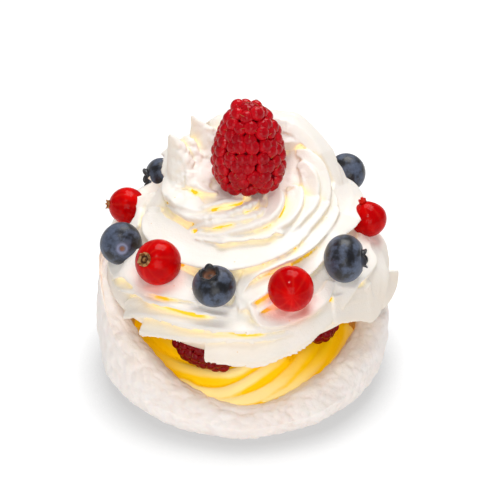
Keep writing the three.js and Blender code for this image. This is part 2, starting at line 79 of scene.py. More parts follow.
def around(samples, azimuth):
    """Smooth periodic value from evenly spaced samples that start at azimuth -180."""
    samples = np.asarray(samples, float)
    n = len(samples)
    x = (np.asarray(azimuth, float) + 180) / 360 * n
    i = np.floor(x).astype(int)
    return spline(*(samples[(i + k) % n] for k in (-1, 0, 1, 2)), x - i)


# %% Directions and azimuths
def unit(vectors):
    """The same directions with length 1."""
    return vectors / np.linalg.norm(vectors, axis=-1, keepdims=True)


def direction(azimuth, elevation):
    """Unit vector of an azimuth and an elevation in degrees."""
    a, e = math.radians(azimuth), math.radians(elevation)
    return np.array([math.cos(e) * math.cos(a), math.cos(e) * math.sin(a), math.sin(e)])


def turned(r, azimuth, z):
    """Points at distances r from the upright axis, at azimuths and at heights z."""
    a = np.radians(azimuth)
    return np.stack(np.broadcast_arrays(r * np.cos(a), r * np.sin(a), z), -1)


def polar(points):
    """Azimuth in degrees and distance from the upright axis of each point."""
    x, y = points[:, 0], points[:, 1]
    return np.degrees(np.arctan2(y, x)), np.hypot(x, y)


# %% [markdown]
# ## Lumps
#
# Torn cream and baked meringue are uneven at several sizes. Random numbers on a lattice give soft
# lumps, and the distance to scattered points gives round knobs that touch. A texture could only
# shade them, so they are worked out here, where they can move the points themselves.

# %% Lumpy noise
def drawn(cells, salt=0):
    """A fixed random number from -1 to 1 for each cell of a lattice."""
    primes = np.array([73856093, 19349663, 83492791], np.int64)[: cells.shape[-1]]
    key = np.bitwise_xor.reduce(cells * primes, axis=-1) + salt * 7919 & 0xFFFFFFFF
    key = (key * 2654435761) & 0xFFFFFFFF
    key = ((key ^ (key >> 15)) * 2246822519) & 0xFFFFFFFF
    return (key >> 8) / 8388607.5 - 1


def noise(points, size, seed=0):
    """Smooth noise from -1 to 1 with lumps of about that size, for points in any units."""
    p = np.asarray(points, float) / size + seed * 17.31
    cell = np.floor(p).astype(np.int64)
    f = p - cell
    f = f * f * (3 - 2 * f)
    total = np.zeros(p.shape[:-1])
    for corner in np.ndindex(*(2,) * p.shape[-1]):
        weight = np.prod(np.where(corner, f, 1 - f), axis=-1)
        total += weight * drawn(cell + corner)
    return total


def knobs(points, size, seed=0):
    """Round knobs of about that size, packed together: 1 on a knob's top and 0 between them."""
    p = np.asarray(points, float) / size + seed * 17.31
    cell = np.floor(p).astype(np.int64)
    nearest = np.full(p.shape[:-1], 9.0)
    for corner in np.ndindex(3, 3, 3):
        at = cell + corner - 1
        middle = at + 0.5 + 0.4 * np.stack([drawn(at, k) for k in (1, 2, 3)], -1)
        nearest = np.minimum(nearest, ((p - middle) ** 2).sum(-1))
    return np.clip(1 - nearest / 0.8, 0, 1)


# %% [markdown]
# ## Meshes
#
# A mesh is a list of points and a list of faces. Berries, strokes and the nest are all rings of
# points, joined by quads and closed by a pole at each end. Where cream is piped onto cream, closed
# skins overlap, and a voxel remesh turns them into a single skin.

# %% Meshes from rings
def mesh_object(name, points, faces):
    """Object at the origin with a mesh of points in millimetres and faces of their numbers."""
    mesh = bpy.data.meshes.new(name)
    mesh.from_pydata((np.asarray(points) * MM).tolist(), [], [list(map(int, f)) for f in faces])
    mesh.update()
    made = bpy.data.objects.new(name, mesh)
    bpy.context.scene.collection.objects.link(made)
    return made


def grid_faces(rows, columns):
    """Quads of a grid of points, row by row, with the last column joined to the first."""
    i, j = np.meshgrid(np.arange(rows - 1), np.arange(columns), indexing="ij")
    k = (j + 1) % columns
    return np.stack([i * columns + j, i * columns + k, (i + 1) * columns + k,
                     (i + 1) * columns + j], -1).reshape(-1, 4)


def closed_rings(rings, ends=None):
    """Points and faces of a closed skin over rings (rows, columns, 3), with a pole at each end."""
    rows, columns = rings.shape[:2]
    poles = ends if ends is not None else (rings[0].mean(0), rings[-1].mean(0))
    points = np.vstack([rings.reshape(-1, 3), *poles])
    quads = grid_faces(rows, columns)
    j = np.arange(columns)
    k = (j + 1) % columns
    top = (rows - 1) * columns
    fans = np.vstack([np.stack([np.full(columns, len(points) - 2), k, j], -1),
                      np.stack([np.full(columns, len(points) - 1), top + j, top + k], -1)])
    triangles = np.vstack([quads[:, [0, 1, 2]], quads[:, [0, 2, 3]], fans])
    a, b, c = (points[triangles[:, i]] for i in range(3))
    step = -1 if (a * np.cross(b, c)).sum() < 0 else 1  # turns round a skin that is inside out
    return points, quads[:, ::step].tolist() + fans[:, ::step].tolist()


# %% Reading and painting points
def rows_of(items, key):
    """Three numbers of each item of a mesh, as rows."""
    flat = np.empty(len(items) * 3, np.float32)
    items.foreach_get(key, flat)
    return flat.reshape(-1, 3).astype(float)


def vertices(target):
    """Vertex places in millimetres."""
    return rows_of(target.data.vertices, "co") / MM


def normals(target):
    """Vertex normals."""
    return rows_of(target.data.vertex_normals, "vector")


def set_vertices(target, points):
    """Moves the vertices to places in millimetres."""
    target.data.vertices.foreach_set("co", (points * MM).astype(np.float32).ravel())
    target.data.update()


def paint(target, name, values):
    """Stores one number for each vertex, which the material reads by that name."""
    layer = target.data.attributes.new(name, "FLOAT", "POINT")
    layer.data.foreach_set("value", np.asarray(values, np.float32))


# %% Modifiers and melting
def evaluated(target):
    """The plain mesh that an object's live modifiers give."""
    graph = bpy.context.evaluated_depsgraph_get()
    graph.update()
    return bpy.data.meshes.new_from_object(target.evaluated_get(graph), depsgraph=graph)


def baked(target):
    """Turns an object's live modifiers into its plain mesh."""
    result = evaluated(target)
    target.modifiers.clear()
    target.data = result


def drop_crumbs(target, least=200):
    """Deletes loose bits of fewer points than that, which joining leaves behind."""
    skin = bmesh.new()
    skin.from_mesh(target.data)
    seen, crumbs = set(), []
    for first in skin.verts:
        if first in seen:
            continue
        seen.add(first)
        island = [first]
        for vertex in island:
            for edge in vertex.link_edges:
                other = edge.other_vert(vertex)
                if other not in seen:
                    seen.add(other)
                    island.append(other)
        if len(island) < least:
            crumbs += island
    bmesh.ops.delete(skin, geom=crumbs, context="VERTS")
    skin.to_mesh(target.data)
    skin.free()
    print(target.name, "lost", len(crumbs), "points of loose crumbs")


def melt(parts, name, voxel, limit):
    """Joins closed parts (points, faces) into one soft skin, as piped strokes run together."""
    points, faces, first = [], [], 0
    for part_points, part_faces in parts:
        points.append(part_points)
        faces += [[v + first for v in face] for face in part_faces]
        first += len(part_points)
    made = mesh_object(name, np.vstack(points), faces)
    remesh = made.modifiers.new("join", "REMESH")
    remesh.mode = "VOXEL"
    remesh.voxel_size = voxel * MM
    soften = made.modifiers.new("soften", "SMOOTH")
    soften.factor = 0.4
    soften.iterations = 1
    baked(made)
    triangles = 2 * len(made.data.polygons)
    if triangles > limit:
        thin = made.modifiers.new("thin", "DECIMATE")
        thin.ratio = limit / triangles
        baked(made)
    drop_crumbs(made)
    print(name, "melted to", len(made.data.polygons), "faces")
    return made


# %% [markdown]
# ## Nodes
#
# Geometry Nodes and materials are both trees of nodes. One small function adds any node with its
# settings and links, and another opens a Geometry Nodes tree with named inputs. Colours are the
# hex codes that a colour picker shows.

# %% Nodes and colours
def node(tree, kind, links=None, **settings):
    """Adds a node. links gives each input a value, a hex colour or another node's output."""
    made = tree.nodes.new(kind)
    for name, value in settings.items():
        setattr(made, name, value)
    for key, value in (links or {}).items():
        if isinstance(value, bpy.types.NodeSocket):
            tree.links.new(value, made.inputs[key])
        elif str(value).startswith("#"):
            made.inputs[key].default_value = colour(value)
        else:
            made.inputs[key].default_value = value
    return made


def colour(hex_code):
    """Linear colour with alpha from an sRGB hex code."""
    parts = [int(hex_code[i : i + 2], 16) / 255 for i in (1, 3, 5)]
    return [c / 12.92 if c <= 0.04045 else ((c + 0.055) / 1.055) ** 2.4 for c in parts] + [1.0]


def new_tree(name, inputs, output):
    """Geometry Nodes tree with named inputs and one skin as output, and its inputs' sockets."""
    tree = bpy.data.node_groups.new(name, "GeometryNodeTree")
    for label, kind in inputs.items():
        tree.interface.new_socket(label, in_out="INPUT", socket_type="NodeSocket" + kind)
    tree.interface.new_socket(output, in_out="OUTPUT", socket_type="NodeSocketGeometry")
    return tree, node(tree, "NodeGroupInput").outputs


def set_tree(target, tree, inputs):
    """Puts a tree on an object and sets its inputs by their sockets' identifiers."""
    modifier = target.modifiers.new(tree.name, "NODES")
    modifier.node_group = tree
    for item in tree.interface.items_tree:
        if item.in_out == "INPUT" and item.name in inputs:
            modifier[item.identifier] = inputs[item.name]


# %% [markdown]
# ## The swirl's surface
#
# The swirl is a dome of cream, taller at the back, whose top leans back a little. A point on it
# is given by its azimuth and by s, which goes from 0 at the lower edge to 1 in the middle of the
# top. Every stroke of cream follows a path in these two numbers, so one function that turns them
# into a point, and another that gives the surface's normal, are all that the strokes need.

# %% Dome of cream
CREAM_PROFILE = [
    (31, 21.5), (36, 25.5), (37.5, 32), (36, 38.5), (31.5, 44),
    (26, 48.5), (20, 52.5), (13.5, 55.5), (6, 56.5), (0, 56.5),
]  # radius and height
CREAM_UNDERSIDE = 16.5
CREAM_CREASE = 1.0  # depth of the creases under the profile
CREAM_LEAN = (1, 2)
RIDGE_AZIMUTH = 80  # the swirl stands higher here
RIDGE_RISE = 14.6
RIDGE_RADIUS = 20
RIDGE_SPREAD = 8.5
RIDGE_LEFT = 0.85  # the ridge falls away more slowly on its left


def cream_point(azimuth, s):
    """Points on the swirl, which leans back towards its top."""
    azimuth, s = np.broadcast_arrays(np.asarray(azimuth, float), np.asarray(s, float))
    r, z = np.moveaxis(through(CREAM_PROFILE, s), -1, 0)
    turn = (azimuth - RIDGE_AZIMUTH + 180) % 360 - 180
    away = np.clip(np.where(turn > 0, turn * RIDGE_LEFT, turn), -90, 90)
    side = np.maximum(np.cos(np.radians(away)), 0) ** 0.8
    height = z + RIDGE_RISE * side * np.exp(-(((r - RIDGE_RADIUS) / RIDGE_SPREAD) ** 2))
    lean = np.clip((height - 30) / 25, 0, 1)
    return np.stack([
        r * np.cos(np.radians(azimuth)) + CREAM_LEAN[0] * lean,
        r * np.sin(np.radians(azimuth)) + CREAM_LEAN[1] * lean,
        height,
    ], -1)


def cream_normal(azimuth, s):
    """Outward directions of the swirl, from points a small step apart."""
    low = np.clip(s, 0.01, 0.97)
    along = cream_point(azimuth + 1, low) - cream_point(azimuth - 1, low)
    up = cream_point(azimuth, low + 0.01) - cream_point(azimuth, low - 0.01)
    return unit(np.cross(along, up))


def cream_core():
    """The dome without its strokes, sunk to the bottom of the creases."""
    azimuth = np.arange(0, 360, 3.0)
    rings = [cream_point(azimuth, 0.0) * [0.75, 0.75, 0] + [0, 0, CREAM_UNDERSIDE + 2]]
    for s in np.linspace(0.2, 0.97, 40):
        rings.append(cream_point(azimuth, s) - CREAM_CREASE * cream_normal(azimuth, s))
    top = cream_point(0, 1) - [0, 0, CREAM_CREASE]
    return closed_rings(np.array(rings), (np.array([0, 0, CREAM_UNDERSIDE]), top))


# %% [markdown]
# ## One stroke of cream
#
# A nozzle lays cream in ribbons that overlap like shingles. A curve with a bevel would have the
# same section all along, so a ribbon is lofted here: a section with a sloping face, a torn lip
# and a buried side stands on the swirl every 0.8 mm of the path.

# %% Stations along a path
STATION = 0.8  # distance between the sections of a stroke
AHEAD = 0.02  # share of the path ahead and behind that gives its direction


def on_path(path, t):
    """Points on the swirl at shares t of a path."""
    return cream_point(*np.moveaxis(through(path, t), -1, 0))


def stations(path):
    """Shares of a path, its length, and the points, normals and uphill directions along it."""
    length = np.linalg.norm(np.diff(on_path(path, np.linspace(0, 1, 60)), axis=0), axis=1).sum()
    t = np.linspace(0, 1, max(6, int(length / STATION)))
    normal = cream_normal(*np.moveaxis(through(path, t), -1, 0))
    along = unit(on_path(path, t + AHEAD) - on_path(path, t - AHEAD))
    return t, length, on_path(path, t), normal, unit(np.cross(normal, along))


# %% One stroke of cream
FACE = np.array([1.12, 1, 0.88, 0.76, 0.64, 0.53, 0.43, 0.34, 0.26, 0.18, 0.1, 0.04])
ROUND_EDGE = np.radians([70, 30, -5, -40, -75])  # directions round the edge of a full stroke
BURIED = 3.0  # depth of the hidden side under the swirl
END_FADE = 3.5  # a stroke rises and ends along one part in this many of its path
GROOVE = 0.18  # depth of the fine lines that the nozzle leaves
GROOVE_SIZE = (0.9, 9.0)  # width and length of those lines
FOOT_SHARES = (0.05, 0.25, 0.45)  # heights on a stroke's foot, as shares of its stand
FOOT_DROP = 1.0  # the golden light lies this much lower on an upright wall


def stroke(path, width, stand, bend=1.0, lip=0.7, head=0.15, tail=0.15, rag=0.15, soft=0.5,
           gold=1.0, reach=0.4, seed=0):
    """A piped stroke lies on the swirl like a shingle.

    Its face rises towards a lip along the path, and drops from the lip into a crease. bend over 1
    makes the face hollow and under 1 round, and soft makes the lip a full round edge. head and
    tail say how much of the stand is left at the ends, and rag is how torn the lip is. Returns
    the stroke's skin, and points along its foot with the golden light's strength and reach.
    """
    t, length, base, normal, uphill = stations(path)
    fade = ((head + (1 - head) * np.minimum(1, t * END_FADE))
            * (tail + (1 - tail) * np.minimum(1, (1 - t) * END_FADE)))
    mark = np.stack([t * length, np.full_like(t, seed * 7.7)], -1)
    torn = 0.6 * noise(mark, 2.4, 1) + 0.4 * noise(mark, 1.1, 2)
    w = (width * (0.35 + 0.65 * fade))[:, None]
    h = (stand * fade * (1 + 0.1 * noise(mark, 5, 3)) + 0.5 * rag * torn)[:, None]
    out = (lip * fade + rag * noise(mark, 2.2, 4))[:, None]

    # the face: how far uphill each of its points lies, and how high over the swirl
    rise = np.maximum(1 - FACE, 0)
    face_n = h * (rise**bend - 0.12 * soft * rise**8) - np.where(FACE > 1, BURIED, 0)
    lines = np.stack(np.broadcast_arrays(
        FACE * width / GROOVE_SIZE[0], (t * length / GROOVE_SIZE[1])[:, None],
        np.float64(seed)), -1)
    face_n = face_n + GROOVE * noise(lines, 1.0, 5) * (FACE < 0.7)

    # the lip, between a thin edge and a full one, and the buried side behind it
    level = np.full_like(h, 1)
    thin_a = np.hstack([-out, -out * 0.6, 0.2 * level, 0.6 * level, 0.7 * level])
    thin_n = np.hstack([h, h - 0.45, h * 0.6, h * 0.25, -0.8 * level])
    full_a = -out * np.cos(ROUND_EDGE)
    full_n = h * (0.47 + 0.47 * np.sin(ROUND_EDGE))
    a = np.hstack([w * FACE, thin_a + soft * (full_a - thin_a), 0.8 * level])
    n = np.hstack([face_n, thin_n + soft * (full_n - thin_n), -BURIED * level])
    rings = base[:, None] + uphill[:, None] * a[..., None] + normal[:, None] * n[..., None]

    glow = gold * fade**2 * np.clip(0.75 + 0.6 * noise(mark, 4, 6), 0.1, 1)
    below = base - uphill * (0.7 * lip + 0.1 + FOOT_DROP * (1 - normal[:, 2:]))
    foot = [np.column_stack([below + share * (1 - 0.6 * soft) * h * normal, glow, 0 * t + reach])
            for share in FOOT_SHARES]
    return closed_rings(rings), np.vstack(foot)


# %% [markdown]
# ## The course of every stroke
#
# The paths are pairs of azimuth and s, in the order in which the strokes lie: the flap over the
# custard and the bands above it, the lobes on the right, two wide petals, and the ribbons that
# end at the top raspberry. The back of the swirl repeats one climbing stroke at an even pitch.

# %% Courses of the strokes
STROKES = [
    # flap over the custard and the bands above it
    dict(path=[(-104, 0.18), (-98, 0.182), (-90, 0.172), (-83, 0.18), (-73, 0.205), (-65, 0.24),
         (-56, 0.262), (-50, 0.275)], width=8, stand=3.4, bend=1.9, lip=1.3, head=0.95, rag=0.4,
         soft=0.05, reach=0.8),
    dict(path=[(-131, 0.212), (-119, 0.24), (-107, 0.255), (-95, 0.268), (-80, 0.266),
         (-66, 0.275)], width=4.8, stand=3.5, bend=2.1, lip=1.1, head=0.95, tail=0.3, rag=0.3,
         soft=0.05, gold=1.5, reach=0.9),
    dict(path=[(-142, 0.21), (-137, 0.25), (-130, 0.285), (-119, 0.3), (-102, 0.305), (-90, 0.3),
         (-76, 0.292), (-64, 0.3)], width=5, stand=3.8, bend=2.2, lip=1.2, head=0.6, rag=0.3,
         soft=0.05, gold=1.5, reach=1),
    dict(path=[(-158, 0.29), (-146, 0.31), (-137, 0.34), (-128, 0.34), (-115, 0.35), (-101, 0.345),
         (-86, 0.328)], width=4.2, stand=3.3, bend=2, lip=1, soft=0.1, reach=1),
    dict(path=[(-170, 0.33), (-153, 0.33), (-146, 0.362), (-136, 0.358), (-126, 0.37),
         (-112, 0.38), (-98, 0.37)], width=8, stand=3.4, bend=1.2, soft=0.2, tail=0.1, reach=0.9),
    dict(path=[(-92, 0.37), (-88, 0.382), (-86, 0.352), (-83, 0.315), (-76, 0.308), (-69, 0.32),
         (-60, 0.335), (-53, 0.355), (-47, 0.4)], width=3.6, stand=3.2, bend=1.3, soft=1, head=0.7,
         lip=0.9),
    dict(path=[(-88, 0.34), (-83, 0.37), (-76, 0.395), (-66, 0.42)], width=3, stand=2.8, bend=1.4,
         soft=0.6, gold=1.4, reach=0.8),
    dict(path=[(-93, 0.35), (-89, 0.385), (-84, 0.41), (-75, 0.45), (-64, 0.48)], width=4,
         stand=2.8, bend=1.5, gold=1.4, reach=0.8),
    dict(path=[(-92, 0.41), (-88, 0.465), (-83, 0.5), (-72, 0.525), (-60, 0.54), (-45, 0.565),
         (-32, 0.583), (-19, 0.593), (-6, 0.603), (0, 0.63), (5, 0.67)], width=4.4, stand=3,
         bend=1.5, soft=0.7, gold=1.4),
    # right-hand lobes
    dict(path=[(-53, 0.255), (-42, 0.222), (-35, 0.19), (-29, 0.18), (-24, 0.2), (-20, 0.255),
         (-15, 0.3), (-9, 0.35), (-3, 0.41)], width=9.5, stand=3.4, bend=1.3, head=0.5, soft=0.2),
    dict(path=[(-51, 0.275), (-46, 0.31), (-39, 0.35), (-29, 0.355), (-22, 0.362), (-16, 0.4),
         (-6, 0.42)], width=5, stand=3.2, bend=1.3, soft=0.8),
    dict(path=[(-20, 0.15), (-8, 0.2), (0, 0.3), (5, 0.42)], width=8, stand=2.4, bend=0.7),
    dict(path=[(-11, 0.06), (-6, 0.08), (-3, 0.11), (0, 0.15), (1.5, 0.19)], width=6, stand=6.2,
         head=0.3, tail=0.9, lip=1.5, rag=0.1, soft=0.2),
    # wide petals
    dict(path=[(-64, 0.44), (-46, 0.5), (-30, 0.53), (-9, 0.505), (14, 0.48), (40, 0.49),
         (64, 0.54)], width=9, stand=3.4, bend=1.5, lip=1.1, soft=0.3),
    dict(path=[(-178, 0.57), (-171, 0.548), (-160, 0.53), (-146, 0.522), (-124, 0.51),
         (-101, 0.515), (-90, 0.53), (-78, 0.55), (-64, 0.577), (-55, 0.598), (-44, 0.62),
         (-32, 0.64)], width=8.5, stand=3, bend=1.7, lip=1, soft=0.5, gold=0.9),
    dict(path=[(144, 0.47), (154, 0.495), (164, 0.5), (176, 0.48)], width=6, stand=3.6, bend=0.8),
    dict(path=[(12, 0.55), (24, 0.58), (36, 0.61), (48, 0.64), (60, 0.665), (78, 0.68)], width=6,
         stand=3.4, bend=0.9),
    # ribbons round the top raspberry, from the outside in
    dict(path=[(-127, 0.613), (-114.5, 0.618), (-104, 0.63), (-90, 0.64), (-79.5, 0.642),
         (-68.5, 0.652), (-59, 0.658), (-46, 0.666)], width=3.6, stand=2.2, bend=1.4, rag=1.3,
         soft=0.4, gold=0.15),
    dict(path=[(-62, 0.6), (-52.5, 0.613), (-41, 0.633), (-24, 0.645), (-7, 0.643), (0.5, 0.65),
         (8, 0.663), (15, 0.685), (22.5, 0.71), (29, 0.748)], width=3.8, stand=2.6, bend=1.5,
         soft=0.9, lip=1, gold=0.6, rag=0.2),
    dict(path=[(-65.5, 0.633), (-54.5, 0.653), (-41, 0.676), (-25, 0.686), (-8, 0.693),
         (-1.5, 0.698), (5, 0.711), (12, 0.733), (17, 0.763)], width=3.2, stand=2.4, bend=1.5,
         soft=1, lip=1, gold=0.7),
    dict(path=[(-91, 0.656), (-78, 0.661), (-66, 0.676), (-54, 0.691), (-40, 0.718),
         (-26.5, 0.746), (-12, 0.773), (-8, 0.793), (-10, 0.818)], width=3.2, stand=2.5, bend=1.5,
         soft=1, lip=1, gold=0.6),
    dict(path=[(-126.5, 0.643), (-114, 0.648), (-104.5, 0.66), (-94.5, 0.678), (-80, 0.703),
         (-67.5, 0.723), (-57, 0.753), (-45, 0.79), (-36, 0.825), (-33, 0.858), (-44, 0.882)],
         width=3.2, stand=2.8, bend=1.5, soft=1, lip=1.1, gold=1.1, tail=0.4),
    dict(path=[(-132.5, 0.645), (-125, 0.673), (-114.5, 0.7), (-103, 0.723), (-87, 0.738),
         (-77, 0.758), (-67.5, 0.795)], width=2.8, stand=2.1, bend=1.4, soft=1, lip=0.9, gold=0.8),
    dict(path=[(-172.5, 0.643), (-162, 0.66), (-155.5, 0.668), (-148, 0.678), (-140, 0.679),
         (-133.5, 0.685), (-124, 0.703), (-116.5, 0.725), (-109, 0.745), (-98, 0.775), (-88, 0.8)],
         width=3, stand=2.3, bend=1.4, soft=1, lip=1, gold=1.2),
    dict(path=[(-112, 0.745), (-100, 0.765), (-88, 0.79), (-78, 0.815), (-66, 0.85)], width=2.6,
         stand=2, bend=1.3, soft=1, lip=0.8, gold=0.4, rag=0.3),
    dict(path=[(-145, 0.738), (-137.5, 0.741), (-131, 0.753), (-125, 0.781), (-117, 0.813),
         (-104, 0.828), (-92, 0.853)], width=2.6, stand=2, bend=1.2, soft=1, lip=0.8, gold=0.5,
         rag=0.5),
    dict(path=[(-118, 0.86), (-104, 0.865), (-90, 0.875), (-76, 0.88)], width=2.4, stand=1.4,
         bend=1, soft=1, lip=0.6, gold=0.2, rag=0.8),
    dict(path=[(-194, 0.641), (-184.5, 0.648), (-177, 0.658), (-169, 0.678), (-155.5, 0.688),
         (-146.5, 0.703), (-136.5, 0.721), (-127, 0.746)], width=5.5, stand=3.1, bend=0.9, soft=1,
         lip=1.1, gold=1.3, rag=0.3),
    dict(path=[(-207, 0.683), (-200, 0.708), (-192.5, 0.736), (-180, 0.763), (-172, 0.783),
         (-157.5, 0.808), (-145, 0.843)], width=3.4, stand=2.6, bend=1.2, soft=1, lip=1, gold=0.9,
         rag=0.2),
    dict(path=[(-201, 0.756), (-194.5, 0.776), (-186, 0.803), (-176, 0.838)], width=2.4, stand=2,
         bend=1.1, soft=1, lip=0.8, gold=0.9),
]

# %% Strokes at the back
BACK_ROWS = [(0.16, 8.5, 3.2, 0.8), (0.33, 8, 2.8, 0.9), (0.5, 8, 2.6, 0.9),
             (0.68, 7, 2.2, 0.8)]  # s, width, stand and bend
BACK_FIRST, BACK_LAST, BACK_PITCH = 30, 156, 46  # azimuths where the strokes begin
BACK_SWEEP = 66  # degrees that a stroke covers
BACK_CLIMB = 0.0019  # s gained in a degree


def back_strokes():
    """The same climbing strokes at an even pitch, each row half a pitch from the last."""
    made = []
    for k, (s, width, stand, bend) in enumerate(BACK_ROWS):
        for azimuth in np.arange(BACK_FIRST + (k % 2) * BACK_PITCH / 2, BACK_LAST, BACK_PITCH):
            path = [(azimuth + BACK_SWEEP * (t - 0.3), s + BACK_CLIMB * BACK_SWEEP * t)
                    for t in (0, 0.5, 1)]
            made.append(dict(path=path, width=width, stand=stand, bend=bend))
    return made


courses = STROKES + back_strokes()
print("strokes of cream:", len(courses))

# %% [markdown]
# ## Peaks
#
# Where the nozzle was pulled away, the cream ends in thin pointed blades. Each one is a stack of
# flat ovals that shrink towards the tip, which follows the lean of the real peak better than a
# cone would.

# %% Peaks
PEAKS = [
    dict(turn=-30, rows=[
        (-18.8, 8.5, 67.7, 0.25, 0.25), (-18.1, 8.4, 66.6, 1.5, 0.8), (-17, 7.7, 64.3, 2.9, 1.3),
        (-16.4, 6.6, 61.5, 3.7, 2), (-16, 5, 58, 4.1, 3), (-14.8, 3, 54, 4.2, 3.6),
        (-13, 1, 49, 4, 4)]),
    dict(turn=-12, rows=[
        (-13.1, 13.4, 70.6, 0.25, 0.25), (-12.6, 13.3, 69.6, 0.9, 0.6), (-11.2, 13, 68, 2.4, 0.9),
        (-9.9, 12.3, 66.2, 3.9, 1.3), (-9.2, 11.3, 63.5, 4.8, 2), (-8.7, 9.5, 60, 5, 3),
        (-8, 7, 56, 4.6, 4), (-7, 5, 50, 4, 4)]),
    dict(turn=-24, rows=[
        (-14.6, 10.2, 66.2, 0.6, 0.5), (-14.4, 9.8, 65, 2, 1), (-14, 8.9, 62.5, 3.2, 1.8),
        (-13, 6.8, 58, 4, 3), (-11.5, 3, 52, 4, 4)]),
]  # direction of the blade's width, then x, y, z, half width and half thickness from the tip down


def peak(turn, rows):
    """A thin blade of cream with a pointed tip, where the nozzle pulled away."""
    row = through(rows, np.linspace(0, 1, 40))
    turns = np.radians(np.arange(0, 360, 12))
    across, deep = direction(turn, 0), direction(turn + 90, 0)
    rings = (row[:, None, :3]
             + (row[:, 3:4] * np.cos(turns))[..., None] * across
             + (row[:, 4:5] * np.sin(turns))[..., None] * deep)
    return closed_rings(rings)


# %% [markdown]
# ## Where the cream may lie
#
# Soft cream spreads until it meets the nest's wall and the custard. So the profile of the nest and
# the level of the custard are worked out before the cream is joined, and the same functions make
# those two pieces later.

# %% Nest profile
FOOT_RADIUS = 32
BELLY_RADIUS = 40
BELLY_HEIGHT = 9
WELL_FLOOR = 4.5
WELL_RADIUS = 27
RIM_HEIGHTS = [33, 23, 14.5, 10.8, 13.5, 17.5, 21, 25, 27, 28, 29, 31]  # from azimuth -180
WALLS = [3.8, 8, 10.4, 8.2, 9.8, 9, 6.8, 5, 4.6, 4.4, 4.2, 4]  # thickness at those heights
RIM_LOW = 10.8
RIM_HIGH = 33
RIM_OUTER = 38.9
FOLD_DEPTH = 0.45


def nest_profile(azimuth):
    """Radius and height of the nest's eleven corners at each azimuth, from foot to well."""
    height = around(RIM_HEIGHTS, azimuth)
    high = np.clip((height - RIM_LOW) / (RIM_HIGH - RIM_LOW), 0, 1)
    wall = around(WALLS, azimuth)
    outer = BELLY_RADIUS + (RIM_OUTER - BELLY_RADIUS) * high
    rim = outer - wall / 2
    a = np.radians(azimuth)
    fold = FOLD_DEPTH * (np.sin(a * 5 + math.radians(40)) + 0.6 * np.sin(a * 11))
    shoulder = np.maximum(height - wall * 0.35, BELLY_HEIGHT * 0.82)
    belly = np.minimum(BELLY_HEIGHT, shoulder - 1.5)
    zero = 0 * height
    inner = WELL_RADIUS + 2.5
    rows = [
        (zero + FOOT_RADIUS, zero),
        (zero + BELLY_RADIUS - 2.2, belly * 0.4),
        (BELLY_RADIUS + fold, belly),
        (outer + fold * 0.5, shoulder),
        (rim + wall * 0.3, height - wall * 0.08),
        (rim, height),
        (rim - wall * 0.34, height - wall * 0.12),
        (rim - wall / 2, height - wall * 0.38),
        (inner + 0.4 * (rim - wall / 2 - inner), WELL_FLOOR + 0.45 * (height - 4 - WELL_FLOOR)),
        (zero + WELL_RADIUS + 1, zero + WELL_FLOOR + 1.6),
        (zero + WELL_RADIUS - 4, zero + WELL_FLOOR),
    ]
    return np.array(rows)  # corner, radius or height, azimuth


def wall_limit(azimuth, z):
    """Radius of the nest's inner wall at a height, and a large number above the rim."""
    corners = nest_profile(azimuth)
    limit = np.full_like(z, 1e3)
    for k in (9, 8, 7, 6):
        (r1, z1), (r0, z0) = corners[k], corners[k - 1]
        f = (z - z1) / np.maximum(z0 - z1, 0.01)
        inside = (f >= 0) & (f <= 1)
        limit = np.where(inside, r1 + (r0 - r1) * f, limit)
    return limit


# %% Custard level
CUSTARD_RADIUS = 33
CUSTARD_EDGE = 10.1
CUSTARD_CROWN = 17.2
ROPE_WIDTH = 5.4
ROPE_HEIGHT = 7.2
ROPE_BED = 2.2  # depth of the custard under the crests
ROPES = [
    [(-190, 26.5), (-170, 23.5), (-150, 22), (-130, 20.5), (-110, 19)],
    [(-178, 29), (-163, 27.4), (-150, 26.8), (-130, 25.8), (-110, 24.9), (-96, 24), (-84, 21.4),
     (-70, 18)],
    [(-136, 31), (-122, 29.4), (-114, 30), (-106, 29.9), (-99, 29.2), (-91, 27.4), (-82, 25),
     (-72, 22.8), (-58, 20.6)],
    [(-103, 32.4), (-95, 31.7), (-89, 30.9), (-82, 29.9), (-74, 28.4), (-65, 26.5), (-55, 24.5),
     (-43, 22.7), (-25, 21)],
    [(-79, 32.6), (-74, 31.4), (-65, 30.1), (-56, 28.2), (-45, 26.8), (-33, 25.7), (-15, 25)],
    [(-58, 32.4), (-44, 30.4), (-32, 29.2), (-19, 28.8), (0, 28.6)],
    [(-204, 31), (-190, 31), (-176, 31), (-160, 31.4)],
]
# painted shade of the custard round the nest
SHADE = [0.95, 0.9, 0.45, 0, 0.5, 1, 1, 0.9, 0.8, 0.8, 0.8, 0.9]  # from azimuth -180


def custard_height(r):
    """Height of the custard at a distance from the axis: a crown that falls to the edge."""
    t = np.clip(np.asarray(r, float) / CUSTARD_RADIUS, 0, 1)
    return CUSTARD_CROWN + (CUSTARD_EDGE - CUSTARD_CROWN) * t**3


# %% [markdown]
# ## Join the cream
#
# Piped strokes run together where they touch. A boolean union of fifty skins is slow and often
# fails, so they are remeshed on a fine lattice of voxels, which also rounds every joint a little.
# After that the points are pressed off the custard and the wall, hollowed under two berries, and
# torn round the top raspberry.

# %% Press the cream into place
WALL_GAP = 0.2  # cream stays this far inside the nest's wall
CUSTARD_GAP = 0.3  # and at least this far over the custard


def settle(points):
    """Presses cream back to the nest's inner wall and up off the custard."""
    azimuth, r = polar(points)
    limit = wall_limit(azimuth, points[:, 2]) - WALL_GAP
    scale = np.where(r > limit, limit / np.maximum(r, 1), 1)
    settled = points * np.stack([scale, scale, np.ones_like(scale)], -1)
    floor = custard_height(np.minimum(r, CUSTARD_RADIUS)) + CUSTARD_GAP
    settled[:, 2] = np.maximum(settled[:, 2], floor)
    return settled


